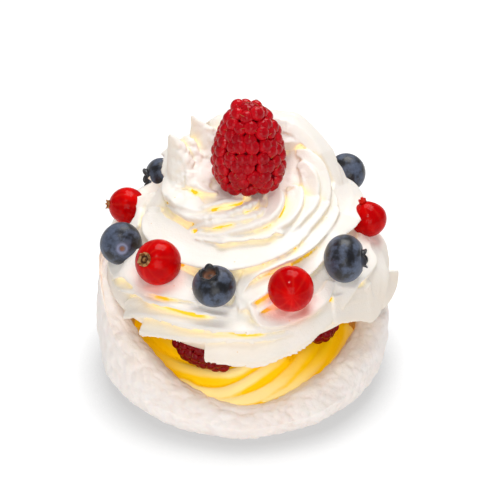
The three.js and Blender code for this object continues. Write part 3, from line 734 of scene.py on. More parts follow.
POCKETS = [
    dict(centre=(-25.5, 12.5, 52.5), radius=7.2, into=(0.7, 0.65, -0.3)),
    dict(centre=(-34, 3, 46), radius=6.2, into=(1, 0, 0)),
]


def scoop(points):
    """Presses the hollows into the swirl in which the first two berries lie."""
    for pocket in POCKETS:
        into = unit(np.array(pocket["into"], float))
        offset = points - pocket["centre"]
        depth = offset @ into
        half = pocket["radius"] ** 2 - (offset**2).sum(1) + depth**2
        far = np.sqrt(np.maximum(half, 0))
        points = points + into * np.where(np.abs(depth) < far, far - depth, 0)[:, None]
    return points


# %% Torn cream round the top raspberry
ROUGH_RING = (1.8, 0.5, 14.0, 5.5)  # axis x and y, radius and spread of the torn cream
ROUGH_FROM = 52  # height over which cream is torn
TEARS = [(1.1, 2.2, 32), (0.7, 1.3, 34)]  # height, size and seed of the two sizes of lumps


def roughen(points, out):
    """Small torn lumps of cream round the foot of the top raspberry."""
    x, y, ring, spread = ROUGH_RING
    r = np.hypot(points[:, 0] - x, points[:, 1] - y)
    share = np.exp(-(((r - ring) / spread) ** 2))
    share = share * np.clip((points[:, 2] - ROUGH_FROM) / 3, 0, 1)
    share = share * np.clip(0.6 - 0.5 * (points[:, 0] - x) / 12, 0.25, 1)  # more on the left
    share = share * np.clip(0.6 + 1.2 * noise(points, 6, 31), 0, 1)
    lump = sum(high * knobs(points, size, seed) for high, size, seed in TEARS)
    lump = lump + 0.5 * noise(points, 0.9, 33) - 0.7
    return points + out * (share * lump)[:, None]


# %% Join the cream
CREAM_VOXEL = 0.36  # edge of the lattice that joins the strokes
CREAM_TRIANGLES = 197000  # most triangles of the swirl

cream_parts, feet = [cream_core()], []
for number, course in enumerate(courses):
    part, foot = stroke(seed=number, **course)
    cream_parts.append(part)
    feet.append(foot)
cream_parts += [peak(**entry) for entry in PEAKS]
whipped_cream = melt(cream_parts, "cream_swirl", CREAM_VOXEL, CREAM_TRIANGLES)
points = roughen(scoop(vertices(whipped_cream)), normals(whipped_cream))
set_vertices(whipped_cream, settle(points))
print("cream after settling:", len(points), "vertices")

# %% [markdown]
# ## Where the cream is creased
#
# Light that reaches the bottom of a crease has bounced off cream many times and comes out golden.
# Geometry Nodes measure this: from every vertex a fan of short rays goes out round the normal,
# and the share that soon meets cream again is stored as the attribute "crease".

# %% Crease tree
RAYS = 28
LIFT = 0.2  # the rays start this far over the skin, so that they don't meet their own face


def crease_tree():
    """Stores the share of short rays from each vertex that meet the skin again."""
    tree, given = new_tree("measure_creases", {"Skin": "Geometry", "Reach": "Float"}, "Skin")
    place = node(tree, "GeometryNodeInputPosition").outputs[0]
    normal = node(tree, "GeometryNodeInputNormal").outputs[0]
    lifted = node(tree, "ShaderNodeVectorMath", {0: normal, 1: (LIFT * MM,) * 3, 2: place},
                  operation="MULTIPLY_ADD").outputs[0]
    total = 0.0
    for seed in range(RAYS):
        random = node(tree, "FunctionNodeRandomValue", {"Min": (-1, -1, -1), "Max": (1, 1, 1),
                      "Seed": seed}, data_type="FLOAT_VECTOR").outputs[0]
        away = node(tree, "ShaderNodeVectorMath", {0: random}, operation="NORMALIZE").outputs[0]
        ray = node(tree, "ShaderNodeVectorMath", {0: away, 1: normal}, operation="ADD").outputs[0]
        hit = node(tree, "GeometryNodeRaycast", {
            "Target Geometry": given["Skin"], "Source Position": lifted, "Ray Direction": ray,
            "Ray Length": given["Reach"]}).outputs
        near = node(tree, "ShaderNodeMath", {0: hit["Hit Distance"], 1: given["Reach"]},
                    operation="DIVIDE").outputs[0]
        closed = node(tree, "ShaderNodeMath", {0: 1.0, 1: near}, operation="SUBTRACT").outputs[0]
        total = node(tree, "ShaderNodeMath", {0: closed, 1: hit["Is Hit"], 2: total},
                     operation="MULTIPLY_ADD").outputs[0]
    mean = node(tree, "ShaderNodeMath", {0: total, 1: 1 / RAYS}, operation="MULTIPLY").outputs[0]
    even = node(tree, "GeometryNodeBlurAttribute", {"Value": mean, "Iterations": 2}).outputs[0]
    stored = node(tree, "GeometryNodeStoreNamedAttribute", {
        "Geometry": given["Skin"], "Name": "crease", "Value": even}).outputs[0]
    node(tree, "NodeGroupOutput", {"Skin": stored})
    return tree


# %% Measure the creases
CREASE_REACH = 5.0  # length of the rays that look for wide creases
CRACK_REACH = 2.0  # and of those that look for narrow cracks
creases = crease_tree()


def measure_creases(target, reach=CREASE_REACH):
    """Paints "crease" on a piece and returns its values."""
    set_tree(target, creases, {"Reach": reach * MM})
    baked(target)
    values = np.empty(len(target.data.vertices), np.float32)
    target.data.attributes["crease"].data.foreach_get("value", values)
    print(target.name, "crease quantiles:", np.quantile(values, [0.1, 0.5, 0.9, 0.98]).round(3))
    return values


cracks = measure_creases(whipped_cream, CRACK_REACH)
measure_creases(whipped_cream)
paint(whipped_cream, "crack", cracks)

# %% [markdown]
# ## Golden light
#
# The narrow cracks under the lips are the most golden, because light leaves them only after many
# bounces. A renderer would need very many samples to find that, so it is painted: each point of
# cream looks for the nearest point along a stroke's foot, and deep cracks glow wherever they are.

# %% Golden light at the foot of each stroke
DEEP_CRACK = 0.29  # share of rays that meet cream again at which a crack turns golden


def near_feet(points, feet):
    """Strength of the golden light at each point, from the nearest point of a stroke's foot."""
    tree = KDTree(len(feet))
    for k, foot in enumerate(feet):
        tree.insert(foot[:3], k)
    tree.balance()
    found = [tree.find(point)[1:] for point in points]
    strength, reach = np.array([feet[k][3:] for k, _ in found]).T
    gap = np.array([distance for _, distance in found])
    return strength * np.exp(-((np.maximum(gap - 0.2, 0) / reach) ** 2))


def evened(target, values, rounds):
    """Values averaged with those of the neighbouring vertices, so that lines have no gaps."""
    ends = np.empty(len(target.data.edges) * 2, np.int32)
    target.data.edges.foreach_get("vertices", ends)
    a, b = ends.reshape(-1, 2).T
    count = np.bincount(a, minlength=len(values)) + np.bincount(b, minlength=len(values))
    for _ in range(rounds):
        total = (np.bincount(a, values[b], len(values))
                 + np.bincount(b, values[a], len(values)))
        values = 0.5 * (values + total / np.maximum(count, 1))
    return values


glow = near_feet(vertices(whipped_cream), np.vstack(feet))
glow *= np.clip((cracks - 0.05) / 0.13, 0, 1)
glow = np.maximum(glow, np.clip((cracks - DEEP_CRACK) / 0.15, 0, 1))
paint(whipped_cream, "gold", evened(whipped_cream, glow, 3))
print("share of golden cream:", round(float((glow > 0.4).mean()), 3))

# %% Painted light from inside the swirl, and painted shade of upright faces
INNER_LIGHT_RADIUS = 16
INNER_LIGHT_FROM = 50  # height over which light comes through the thin ribbons

points = vertices(whipped_cream)
under = np.hypot(points[:, 0] - ROUGH_RING[0], points[:, 1] - ROUGH_RING[1])
# painted light: the cream round the top raspberry's foot glows a little, which lifts the shade
# there
inner_light = np.exp(-((under / INNER_LIGHT_RADIUS) ** 4)) * (points[:, 2] > INNER_LIGHT_FROM)
paint(whipped_cream, "inner_light", inner_light)
# painted shade: how upright each face is, which darkens and warms the cream on its sides
paint(whipped_cream, "upright", np.clip(1 - normals(whipped_cream)[:, 2], 0, 1))
print("share of cream with light from inside:", round(float((inner_light > 0.5).mean()), 3))

# %% [markdown]
# ## Materials
#
# Every finish starts from what the food is. Whipped cream and meringue are full of small air
# bubbles, so light goes a little way in and comes out soft; custard is smoother and wetter; the
# berries have thin skins over red or dark flesh.

# %% Patterns and coats of colour
def grain(tree, *sizes, detail=2.0, rough=0.5):
    """Soft lumps of several sizes in millimetres, added up and fixed to the piece."""
    place = node(tree, "ShaderNodeTexCoord").outputs["Object"]
    total = None
    for size in sizes:
        lump = node(tree, "ShaderNodeTexNoise", {"Vector": place, "Scale": 1 / (size * MM),
                    "Detail": detail, "Roughness": rough}).outputs["Fac"]
        if total is None:
            total = lump
        else:
            total = node(tree, "ShaderNodeMath", {0: total, 1: lump}).outputs[0]
    return total


def coat(tree, below, over, value, low=0.0, high=1.0, most=1.0, edge="SMOOTHSTEP"):
    """Lays a colour over another where a value is high, and none of it where it is low."""
    share = node(tree, "ShaderNodeMapRange", {"Value": value, "From Min": low, "From Max": high,
                 "To Max": most}, interpolation_type=edge).outputs[0]
    return node(tree, "ShaderNodeMix", {"Factor": share, 6: below, 7: over},
                data_type="RGBA").outputs[2]


def speckled(tree, below, over, spacing, size):
    """Small round specks of a colour, about one in each spacing of millimetres."""
    place = node(tree, "ShaderNodeTexCoord").outputs["Object"]
    dots = node(tree, "ShaderNodeTexVoronoi", {"Vector": place,
                "Scale": 1 / (spacing * MM)}).outputs["Distance"]
    return coat(tree, below, over, dots, size / spacing * 0.5, size / spacing * 0.35, 0.5)


def make_finish(name, recipe):
    """Material whose Principled shader gets the inputs that a recipe builds in its tree."""
    made = bpy.data.materials.new(name)
    made.use_nodes = True
    tree = made.node_tree
    tree.nodes.clear()
    skin = node(tree, "ShaderNodeBsdfPrincipled", recipe(tree))
    node(tree, "ShaderNodeOutputMaterial", {"Surface": skin.outputs[0]})
    return made


# %% [markdown]
# ### Whipped cream
#
# Cream is fat and water beaten full of air. It is white because every bubble scatters light, and
# softly shiny because fat is smooth. Part of its shading is painted: faces that turn sideways or
# down get painted shade, the measured creases painted golden light, and the creases, the foot of
# the top raspberry and the cream close to a berry a little painted glow. A peach tint lies under
# the currants, and foam that is too fine to model is a bump of half a millimetre, as coarse as it
# has to be to show.

# %% Whipped cream
def dairy_cream(tree):
    """Fat foam: white and softly shiny, with painted shade on side faces, painted golden light
    in its creases, and a few pits and specks.
    """
    gold, upright, crease, crack, peach_tint, inner_light, painted_light_near_berries = (
        node(tree, "ShaderNodeAttribute", attribute_name=name).outputs["Fac"]
        for name in ("gold", "upright", "crease", "crack", "peach_tint", "inner_light", "painted_light_near_berries"))
    # painted shade: faces that stand upright or turn down are a darker, warmer cream
    face = coat(tree, "#f5efe7", "#f0e4d6", upright, 0.2, 0.9)
    # painted light: the measured creases and cracks get the warm, golden colour of bounced light
    painted_crease_light = coat(tree, face, "#f7e8c2", crease, 0.03, 0.4)
    painted_crack_light = coat(tree, painted_crease_light, "#f8eac0", crack, 0.1, 0.5, 0.7)
    golden = coat(tree, painted_crack_light, "#fbd02e", gold, 0.3, 0.7)
    pitted = speckled(tree, golden, "#e6b050", 5.0, 0.5)
    # a peach tint on the cream under the currants
    peach_tinted = coat(tree, pitted, "#ee7f66", peach_tint, edge="LINEAR")
    # painted light: creases, the top raspberry's foot and the cream close to a berry glow a little
    deep = node(tree, "ShaderNodeMapRange", {"Value": crease, "From Min": 0.1, "From Max": 0.5,
                "To Max": 0.26}, interpolation_type="SMOOTHSTEP").outputs[0]
    glow = node(tree, "ShaderNodeMath", {0: inner_light, 1: 0.07, 2: deep},
                operation="MULTIPLY_ADD").outputs[0]
    glow = node(tree, "ShaderNodeMath", {0: painted_light_near_berries, 1: 0.12, 2: glow},
                operation="MULTIPLY_ADD").outputs[0]
    foam = node(tree, "ShaderNodeBump", {"Height": grain(tree, 0.5, 2.5),
                "Distance": 0.08 * MM}).outputs[0]
    return {"Base Color": peach_tinted, "Roughness": 0.42, "IOR": 1.46, "Emission Color": peach_tinted,
            "Emission Strength": glow, "Subsurface Weight": 0.15,
            "Subsurface Radius": (1.0, 0.85, 0.6), "Subsurface Scale": 0.0015, "Normal": foam}


# %% [markdown]
# ### Baked meringue
#
# Egg white and sugar dry to a satin crust in a slow oven, and a few specks of sugar brown. The
# hollows of the crust get painted shade, and the inner wall just over the custard a warm painted
# shade. Noise varies the roughness, because the crust is shinier where it dried last.

# %% Meringue
def baked_meringue(tree):
    """Baked egg white and sugar: pinkish white satin with orange-brown specks, and painted shade
    in the hollows and on the inner wall.
    """
    crease, valley, inner_wall_shade = (
        node(tree, "ShaderNodeAttribute", attribute_name=name).outputs["Fac"]
        for name in ("crease", "valley", "inner_wall_shade"))
    base = coat(tree, "#fcf5f0", "#f6e8e0", grain(tree, 12.0), edge="LINEAR")
    # painted shade: the dimples between the knobs and the measured creases are darker and warmer
    dimpled = coat(tree, base, "#f4e2d8", valley, most=0.6, edge="LINEAR")
    hollow = coat(tree, dimpled, "#efd6bc", crease, 0.1, 0.6, 0.6)
    # painted shade: the inner wall over the custard is warm and dark
    painted_wall_shade = coat(tree, hollow, "#e3b07a", inner_wall_shade, edge="LINEAR")
    dotted = speckled(tree, painted_wall_shade, "#d9935c", 7.0, 0.7)
    satin = node(tree, "ShaderNodeMapRange", {"Value": grain(tree, 5.0), "From Min": 0.3,
                 "From Max": 0.7, "To Min": 0.35, "To Max": 0.5}).outputs[0]
    crumb = node(tree, "ShaderNodeBump", {"Height": grain(tree, 0.7, 3.0),
                 "Distance": 0.12 * MM}).outputs[0]
    return {"Base Color": dotted, "Roughness": satin, "IOR": 1.5, "Subsurface Weight": 0.2,
            "Subsurface Radius": (1.0, 0.7, 0.5), "Subsurface Scale": 0.0015, "Normal": crumb}


# %% [markdown]
# ### Egg custard
#
# Yolk makes custard yellow, and its surface is smooth and wet. The crests of the ropes get a pale
# painted highlight where the front light falls, and the grooves and the custard in the shade of
# the swirl a deeper painted shade. How deep a point lies is painted on the piece, because it
# follows the ropes and no texture knows them. A little glow of painted light keeps the custard
# bright.

# %% Custard
def egg_custard(tree):
    """Egg custard: smooth, wet and yellow, with a painted highlight on the ridges and painted
    shade where ropes meet and under the swirl.
    """
    depth, shade = (node(tree, "ShaderNodeAttribute", attribute_name=name).outputs["Fac"]
                    for name in ("sunk", "shade"))
    sunk = node(tree, "ShaderNodeMath", {0: grain(tree, 5.0), 1: 0.5, 2: depth},
                operation="MULTIPLY_ADD").outputs[0]
    # painted highlight on the crests where the custard isn't shaded, painted shade lower down
    painted_crest_light = coat(tree, "#fee69c", "#fdcc0a", shade, edge="LINEAR")
    ridge = coat(tree, painted_crest_light, "#fdcc0a", sunk, 0.25, 0.85)
    valley = coat(tree, ridge, "#fdce0a", sunk, 0.85, 1.7)
    deep = coat(tree, valley, "#fcc804", shade, most=0.6, edge="LINEAR")
    wet = node(tree, "ShaderNodeBump", {"Height": grain(tree, 1.2),
               "Distance": 0.06 * MM}).outputs[0]
    # painted light: the custard glows a little
    return {"Base Color": deep, "Roughness": 0.35, "IOR": 1.45, "Specular IOR Level": 0.12,
            "Emission Color": deep, "Emission Strength": 0.28, "Subsurface Weight": 0.15,
            "Subsurface Radius": (1.0, 0.6, 0.1), "Subsurface Scale": 0.002, "Normal": wet}


# %% [markdown]
# ### Raspberry skin and threads
#
# A drupelet is a small bag of juice, so light goes in and comes out red. The gaps between the
# drupelets get an almost black painted shade from the measured creases, each drupelet's rim a
# painted lighter red, and the two lying raspberries, under the cream, a darker painted shade. The
# dried threads are brown.

# %% Raspberry
def raspberry_skin(tree):
    """Drupelet skin: translucent red with a fine bump; its hairs are too fine to see."""
    crease, rim, shade_under_cream = (node(tree, "ShaderNodeAttribute", attribute_name=name).outputs["Fac"]
                         for name in ("crease", "rim", "shade_under_cream"))
    body = coat(tree, "#8c0010", "#c00414", grain(tree, 5.0), edge="LINEAR")
    # painted light: the rim of each drupelet is a lighter red
    edge = coat(tree, body, "#c40c1a", rim, 0.6, 0.85)
    # painted shade: the gaps between drupelets are almost black
    gap = coat(tree, edge, "#5a020a", crease, 0.3, 0.65)
    # painted shade: the raspberries under the cream are darker
    dark = coat(tree, gap, "#4a0206", shade_under_cream, most=0.6, edge="LINEAR")
    dull = node(tree, "ShaderNodeBump", {"Height": grain(tree, 0.5),
                "Distance": 0.03 * MM}).outputs[0]
    return {"Base Color": dark, "Roughness": 0.1, "IOR": 1.4, "Specular IOR Level": 0.25,
            "Subsurface Weight": 0.2, "Subsurface Radius": (1.0, 0.15, 0.1),
            "Subsurface Scale": 0.002, "Normal": dull}


def raspberry_styles(tree):
    """The dried styles between the drupelets: golden-brown threads."""
    thread = coat(tree, "#c88a44", "#84421c", grain(tree, 1.5), edge="LINEAR")
    return {"Base Color": thread, "Roughness": 0.5}


# %% [markdown]
# ### Blueberry and red currant skin
#
# Wax bloom makes a black skin look grey-blue where it isn't rubbed off. A currant has no bloom:
# its skin is clear and shows the flesh with its veins. Both keep a dried flower, dark on the
# blueberry and like brown paper on the currant.

# %% Blueberry and red currant
def blueberry_skin(tree):
    """Blue-black skin under patches of pale wax bloom; the crown is darker and its floor brown."""
    crown, brown, pale = (node(tree, "ShaderNodeAttribute", attribute_name=name).outputs["Fac"]
                          for name in ("crown", "brown", "pale"))
    bloom = grain(tree, 3.5, detail=4.0, rough=0.6)
    waxed = coat(tree, "#0b0d15", "#4e5970", bloom, 0.4, 0.62)
    rubbed = coat(tree, waxed, "#0b0d15", grain(tree, 0.8, detail=3.0), 0.7, 0.2, 0.4)
    crowned = coat(tree, rubbed, "#141318", crown, edge="LINEAR")
    floored = coat(tree, crowned, "#7a4a2c", brown, edge="LINEAR")
    ringed = coat(tree, floored, "#8f95b4", pale, edge="LINEAR")
    waxy = node(tree, "ShaderNodeMapRange", {"Value": bloom, "From Min": 0.4, "From Max": 0.62,
                "To Min": 0.3, "To Max": 0.6}, interpolation_type="SMOOTHSTEP").outputs[0]
    uneven = node(tree, "ShaderNodeBump", {"Height": grain(tree, 0.6),
                  "Distance": 0.05 * MM}).outputs[0]
    return {"Base Color": ringed, "Roughness": waxy, "IOR": 1.45, "Sheen Weight": 0.15,
            "Normal": uneven}


def red_currant_skin(tree):
    """Glassy red skin over juicy flesh, with pale veins from the flower to the stalk."""
    vein, dry = (node(tree, "ShaderNodeAttribute", attribute_name=name).outputs["Fac"]
                 for name in ("vein", "dry"))
    flesh = coat(tree, "#b80004", "#d40604", grain(tree, 4.0), 0.4, 0.7)
    veined = coat(tree, flesh, "#e2452e", vein, most=0.22, edge="LINEAR")
    husk = coat(tree, "#b08858", "#6e4222", grain(tree, 0.8), 0.4, 0.6)
    dried = coat(tree, veined, husk, dry)
    pit = coat(tree, dried, "#3a1c10", dry, 1.1, 1.9)
    rough = node(tree, "ShaderNodeMapRange", {"Value": dry, "To Min": 0.15, "To Max": 0.7},
                 interpolation_type="SMOOTHSTEP").outputs[0]
    dimpled = node(tree, "ShaderNodeBump", {"Height": grain(tree, 1.0),
                   "Distance": 0.03 * MM}).outputs[0]
    return {"Base Color": pit, "Roughness": rough, "IOR": 1.4, "Subsurface Weight": 0.3,
            "Subsurface Radius": (1.0, 0.08, 0.05), "Subsurface Scale": 0.004,
            "Specular IOR Level": 0.06, "Coat Weight": 0.08, "Coat Roughness": 0.05,
            "Normal": dimpled}


# %% Make the finishes
cream_finish = make_finish("whipped_dairy_cream", dairy_cream)
meringue_finish = make_finish("baked_meringue", baked_meringue)
custard_finish = make_finish("egg_custard", egg_custard)
raspberry_finish = make_finish("raspberry_skin", raspberry_skin)
hair_finish = make_finish("raspberry_styles", raspberry_styles)
blueberry_finish = make_finish("blueberry_skin", blueberry_skin)
currant_finish = make_finish("red_currant_skin", red_currant_skin)
print("finishes:", ", ".join(m.name for m in bpy.data.materials))

# %% [markdown]
# ## Handing a piece to the frame
#
# A finished piece stands for a node of the CAD model, which is hidden then. The body says what
# it moves with. Everything here is one rigid body.

# %% Handing a piece to the frame
def hand_over(piece, slot, *nodes):
    """Lets a finished piece stand for its CAD nodes."""
    piece.data.shade_smooth()
    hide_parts(*nodes)
    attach(piece, "root")
    print(piece.name, "stands for", ", ".join(nodes))


def dress(piece, finish, slot, *nodes):
    """Gives a piece of one finish its material and hands it over."""
    piece.data.materials.clear()
    piece.data.materials.append(finish)
    hand_over(piece, slot, *nodes)


dress(whipped_cream, cream_finish, "cream", "whipped_cream")

# %% [markdown]
# ## Meringue nest
#
# The nest is a ring of meringue, low in front, with a flat floor. Its profile changes with the
# azimuth, so one set of corners is turned round the axis and smoothed. The crust of a real nest is
# knobbly: packed knobs of two sizes push the points out, in patches, and it is smoother near the
# foot, where it sat on the tray.

# %% Nest skin
NEST_STEPS = 600
NEST_ROWS = 160
FOOT_INSET = 3.0  # the first ring lies this far inside the foot
WELL_INSET = 9.0  # and the last one this far inside the well


def nest_skin():
    """The nest's profile turned round the axis, from under the foot to the floor of the well."""
    azimuth = np.linspace(-180, 180, NEST_STEPS, endpoint=False)
    corners = nest_profile(azimuth)
    corners = np.concatenate([
        corners[:1] * 0 + [[FOOT_RADIUS - FOOT_INSET], [0.0]], corners,
        corners[-1:] * 0 + [[WELL_RADIUS - WELL_INSET], [WELL_FLOOR]]])
    rows = through(corners.transpose(0, 2, 1).reshape(len(corners), -1),
                   np.linspace(0, 1, NEST_ROWS)).reshape(NEST_ROWS, NEST_STEPS, 2)
    rings = turned(rows[..., 0], azimuth, np.maximum(rows[..., 1], 0))
    return closed_rings(rings, (np.zeros(3), np.array([0, 0, WELL_FLOOR])))


points, faces = nest_skin()
meringue = mesh_object("meringue_shell", points, faces)
print("nest skin:", len(faces), "faces")

# %% Crinkles of the crust
SMOOTH_UNDER = 6  # height under which the outside is smoother
LARGE_KNOB, SMALL_KNOB = 3.6, 2.0

out = normals(meringue)
height = points[:, 2]
azimuth, radius = polar(points)
low_band = np.clip((SMOOTH_UNDER - height) / 3, 0, 1) * np.clip((radius - 34) / 3, 0, 1)
bent = points + 1.2 * np.column_stack([noise(points, 5, k) for k in (21, 22, 23)])
patch = np.clip(0.55 + 0.9 * noise(points, 9, 24), 0.1, 1) * (1 - 0.7 * low_band)
crinkle = 0.4 * noise(points, 9, 12) + 0.85 * patch * knobs(bent, LARGE_KNOB, 11)
crinkle += 0.45 * (1.15 - patch) * knobs(bent, SMALL_KNOB, 15) + 0.1 * noise(points, 0.9, 14)
crinkle += 0.25 * noise(points * [0.35, 0.35, 1.6], 3, 16) * low_band
side = np.clip((height - 0.4) / 2.5, 0, 1) * np.clip((radius - 27) / 4, 0, 1)
set_vertices(meringue, points + out * ((crinkle - 0.5) * side)[:, None])
print("crinkle quantiles:", np.quantile(crinkle, [0.1, 0.5, 0.9]).round(2))

# %% Painted shade of the nest
WALL_SHADE_AROUND = [0.3, 1.1, 0.5, 0.05, 0.15, 1, 0.8, 0.5, 0.5, 0.5, 0.5, 0.5]  # from azimuth -180
WALL_SHADE_OVER = 7  # the painted shade on the wall reaches about this far over the custard
CRUST_REACH = 3.0  # length of the rays that look for hollows in the crust

# painted shade: the crust's creases, the dimples between its knobs and the inner wall over the
# custard
measure_creases(meringue, CRUST_REACH)
paint(meringue, "valley", np.clip((0.45 - crinkle) / 0.5, 0, 1))
inward = -(out[:, :2] * points[:, :2]).sum(1) / np.maximum(radius, 1)
low = np.clip((custard_height(radius) + WALL_SHADE_OVER - height) / 6, 0.3, 1)
low = low * np.clip(around(WALL_SHADE_AROUND, azimuth), 0, 1)
paint(meringue, "inner_wall_shade", np.clip(1.6 * inward - 0.2, 0, 1) * low)
dress(meringue, meringue_finish, "meringue", "meringue_nest")

# %% [markdown]
# ## Custard ropes
#
# Custard comes out of a round nozzle as soft ropes that start at the wall and curve inward. A
# rope is a profile swept along a path, so Geometry Nodes sweep all of them at once, and the
# ropes then run together with the custard under them.

# %% Rope tree
RING_POINTS = 28


def rope_tree():
    """Sweeps an oval along every path."""
    tree, given = new_tree("pipe_ropes", {
        "Paths": "Geometry", "Rope Width": "Float", "Flatness": "Float", "Spacing": "Float",
        "Material": "Material"}, "Ropes")
    even = node(tree, "GeometryNodeResampleCurve", {
        "Curve": given["Paths"], "Length": given["Spacing"]}, mode="LENGTH").outputs[0]
    upright = node(tree, "GeometryNodeSetCurveNormal", {"Curve": even}, mode="Z_UP").outputs[0]
    half = node(tree, "ShaderNodeMath", {0: given["Rope Width"], 1: 0.5},
                operation="MULTIPLY").outputs[0]
    ring = node(tree, "GeometryNodeCurvePrimitiveCircle", {
        "Resolution": RING_POINTS, "Radius": half}).outputs[0]
    squash = node(tree, "ShaderNodeCombineXYZ", {
        "X": 1.0, "Y": given["Flatness"], "Z": 1.0}).outputs[0]
    flat = node(tree, "GeometryNodeTransform", {"Geometry": ring, "Scale": squash}).outputs[0]
    swept = node(tree, "GeometryNodeCurveToMesh", {
        "Curve": upright, "Profile Curve": flat, "Fill Caps": True}).outputs[0]
    real = node(tree, "GeometryNodeRealizeInstances", {0: swept}).outputs[0]
    skin = node(tree, "GeometryNodeSetMaterial", {
        "Geometry": real, "Material": given["Material"]}).outputs[0]
    node(tree, "NodeGroupOutput", {"Ropes": skin})
    return tree


def paths_object(name, paths):
    """Curve object with one open line through each path, in millimetres."""
    curve = bpy.data.curves.new(name, "CURVE")
    curve.dimensions = "3D"
    for path in paths:
        line = curve.splines.new("POLY")
        line.points.add(len(path) - 1)
        flat = np.hstack([np.asarray(path) * MM, np.ones((len(path), 1))])
        line.points.foreach_set("co", flat.ravel())
    made = bpy.data.objects.new(name, curve)
    bpy.context.scene.collection.objects.link(made)
    return made


# %% Ropes and the custard under them
ROPE_STEP = 0.6  # distance between the rings of a rope
BED_FOOT = 5.0  # height of the custard's lowest ring


def swept_ropes():
    """Points and faces of all ropes."""
    lines = []
    for rope in ROPES:
        azimuth, r = np.moveaxis(through(rope, np.linspace(0, 1, 60)), -1, 0)
        lines.append(turned(r, azimuth, custard_height(r) - ROPE_HEIGHT / 2))
    guide = paths_object("rope_paths", lines)
    set_tree(guide, rope_tree(), {
        "Rope Width": ROPE_WIDTH * MM, "Flatness": ROPE_HEIGHT / ROPE_WIDTH,
        "Spacing": ROPE_STEP * MM, "Material": custard_finish})
    mesh = evaluated(guide)
    bpy.data.objects.remove(guide)
    return rows_of(mesh.vertices, "co") / MM, [tuple(f.vertices) for f in mesh.polygons]


def custard_bed():
    """The custard under the ropes: a low dome inside the well."""
    azimuth = np.arange(0, 360, 4.0)
    rings = [turned(CUSTARD_RADIUS, azimuth, BED_FOOT)]
    rings += [turned(r, azimuth, custard_height(r) - ROPE_BED)
              for r in np.linspace(CUSTARD_RADIUS, 2, 18)]
    return closed_rings(np.array(rings))


# %% Join the custard
CUSTARD_VOXEL = 0.4
CUSTARD_TRIANGLES = 120000
SHADE_RADIUS = 31.5  # the custard is in the shade of the swirl inside it

custard = melt([custard_bed(), swept_ropes()], "piped_custard", CUSTARD_VOXEL,
               CUSTARD_TRIANGLES)
points = vertices(custard)
azimuth, radius = polar(points)
limit = wall_limit(azimuth, points[:, 2]) - 0.1
shrink = np.where(radius > limit, limit / np.maximum(radius, 1), 1)
set_vertices(custard, points * np.stack([shrink, shrink, 0 * shrink + 1], -1))

points = vertices(custard)
azimuth, radius = polar(points)
sunk = custard_height(radius) - points[:, 2]
paint(custard, "sunk", sunk)
# painted shade: darker at the sides and back, and under the swirl
under = np.clip((SHADE_RADIUS - radius) / 4, 0.25, 1)
paint(custard, "shade", np.clip(around(SHADE, azimuth), 0, 1) * under)
print("custard below the crests:", np.quantile(sunk, [0.1, 0.5, 0.9]).round(2))
dress(custard, custard_finish, "custard", "custard")

# %% [markdown]
# ## Raspberries
#
# A raspberry is a hollow cone covered by staggered rows of juicy drupelets, and each drupelet
# keeps its dried style, a fine golden hair. The rows follow a rule, so a cloud of points is laid
# out row by row, and one Geometry Nodes tree puts a drupelet and a hair on every point.

# %% Layout of the drupelets
RASPBERRY_GIRTH = [[0.8], [1.0], [0.97], [0.84], [0.62], [0.32]]  # share of the radius
TOP_BERRY = dict(length=24.2, radius=9.9, rows=9, drupelet=3.4)
LYING_BERRY = dict(length=16.5, radius=6.6, rows=7, drupelet=2.8)


def girth(u):
    """Share of the radius that a raspberry has at a share of its length."""
    return through(RASPBERRY_GIRTH, u)[..., 0]


def drupelet_points(length, radius, rows, drupelet, seed):
    """Centres, outward directions and sizes of the drupelets of an upright raspberry."""
    rng = np.random.default_rng(seed)
    relief = drupelet * 0.4
    places, outs, sizes = [], [], []
    for row in range(rows):
        u = (row + 0.35) / (rows - 0.1)
        r = (radius - relief * 1.25) * float(girth(u))
        z = relief + (length - 2 * relief) * u
        count = max(5, round(2 * math.pi * r / (drupelet * 0.84)))
        slope = float(girth(min(u + 0.05, 1)) - girth(max(u - 0.05, 0))) * radius
        lean = math.atan2(-slope, 0.1 * length)
        for k in range(count):
            turn = 2 * math.pi * (k + 0.5 * (row % 2)) / count + rng.normal(0, 0.07)
            out = np.array([math.cos(turn) * math.cos(lean), math.sin(turn) * math.cos(lean),
                            math.sin(lean)])
            places.append([r * math.cos(turn), r * math.sin(turn), z + rng.normal(0, 0.4)])
            outs.append(out)
            sizes.append(drupelet * rng.uniform(1.04, 1.22))
    for k in range(3):
        turn = 2.1 * k + 0.4
        places.append([0.9 * math.cos(turn), 0.9 * math.sin(turn), length - relief * 1.5])
        outs.append([0.3 * math.cos(turn), 0.3 * math.sin(turn), 1])
        sizes.append(drupelet)
    return np.array(places), unit(np.array(outs)), np.array(sizes)


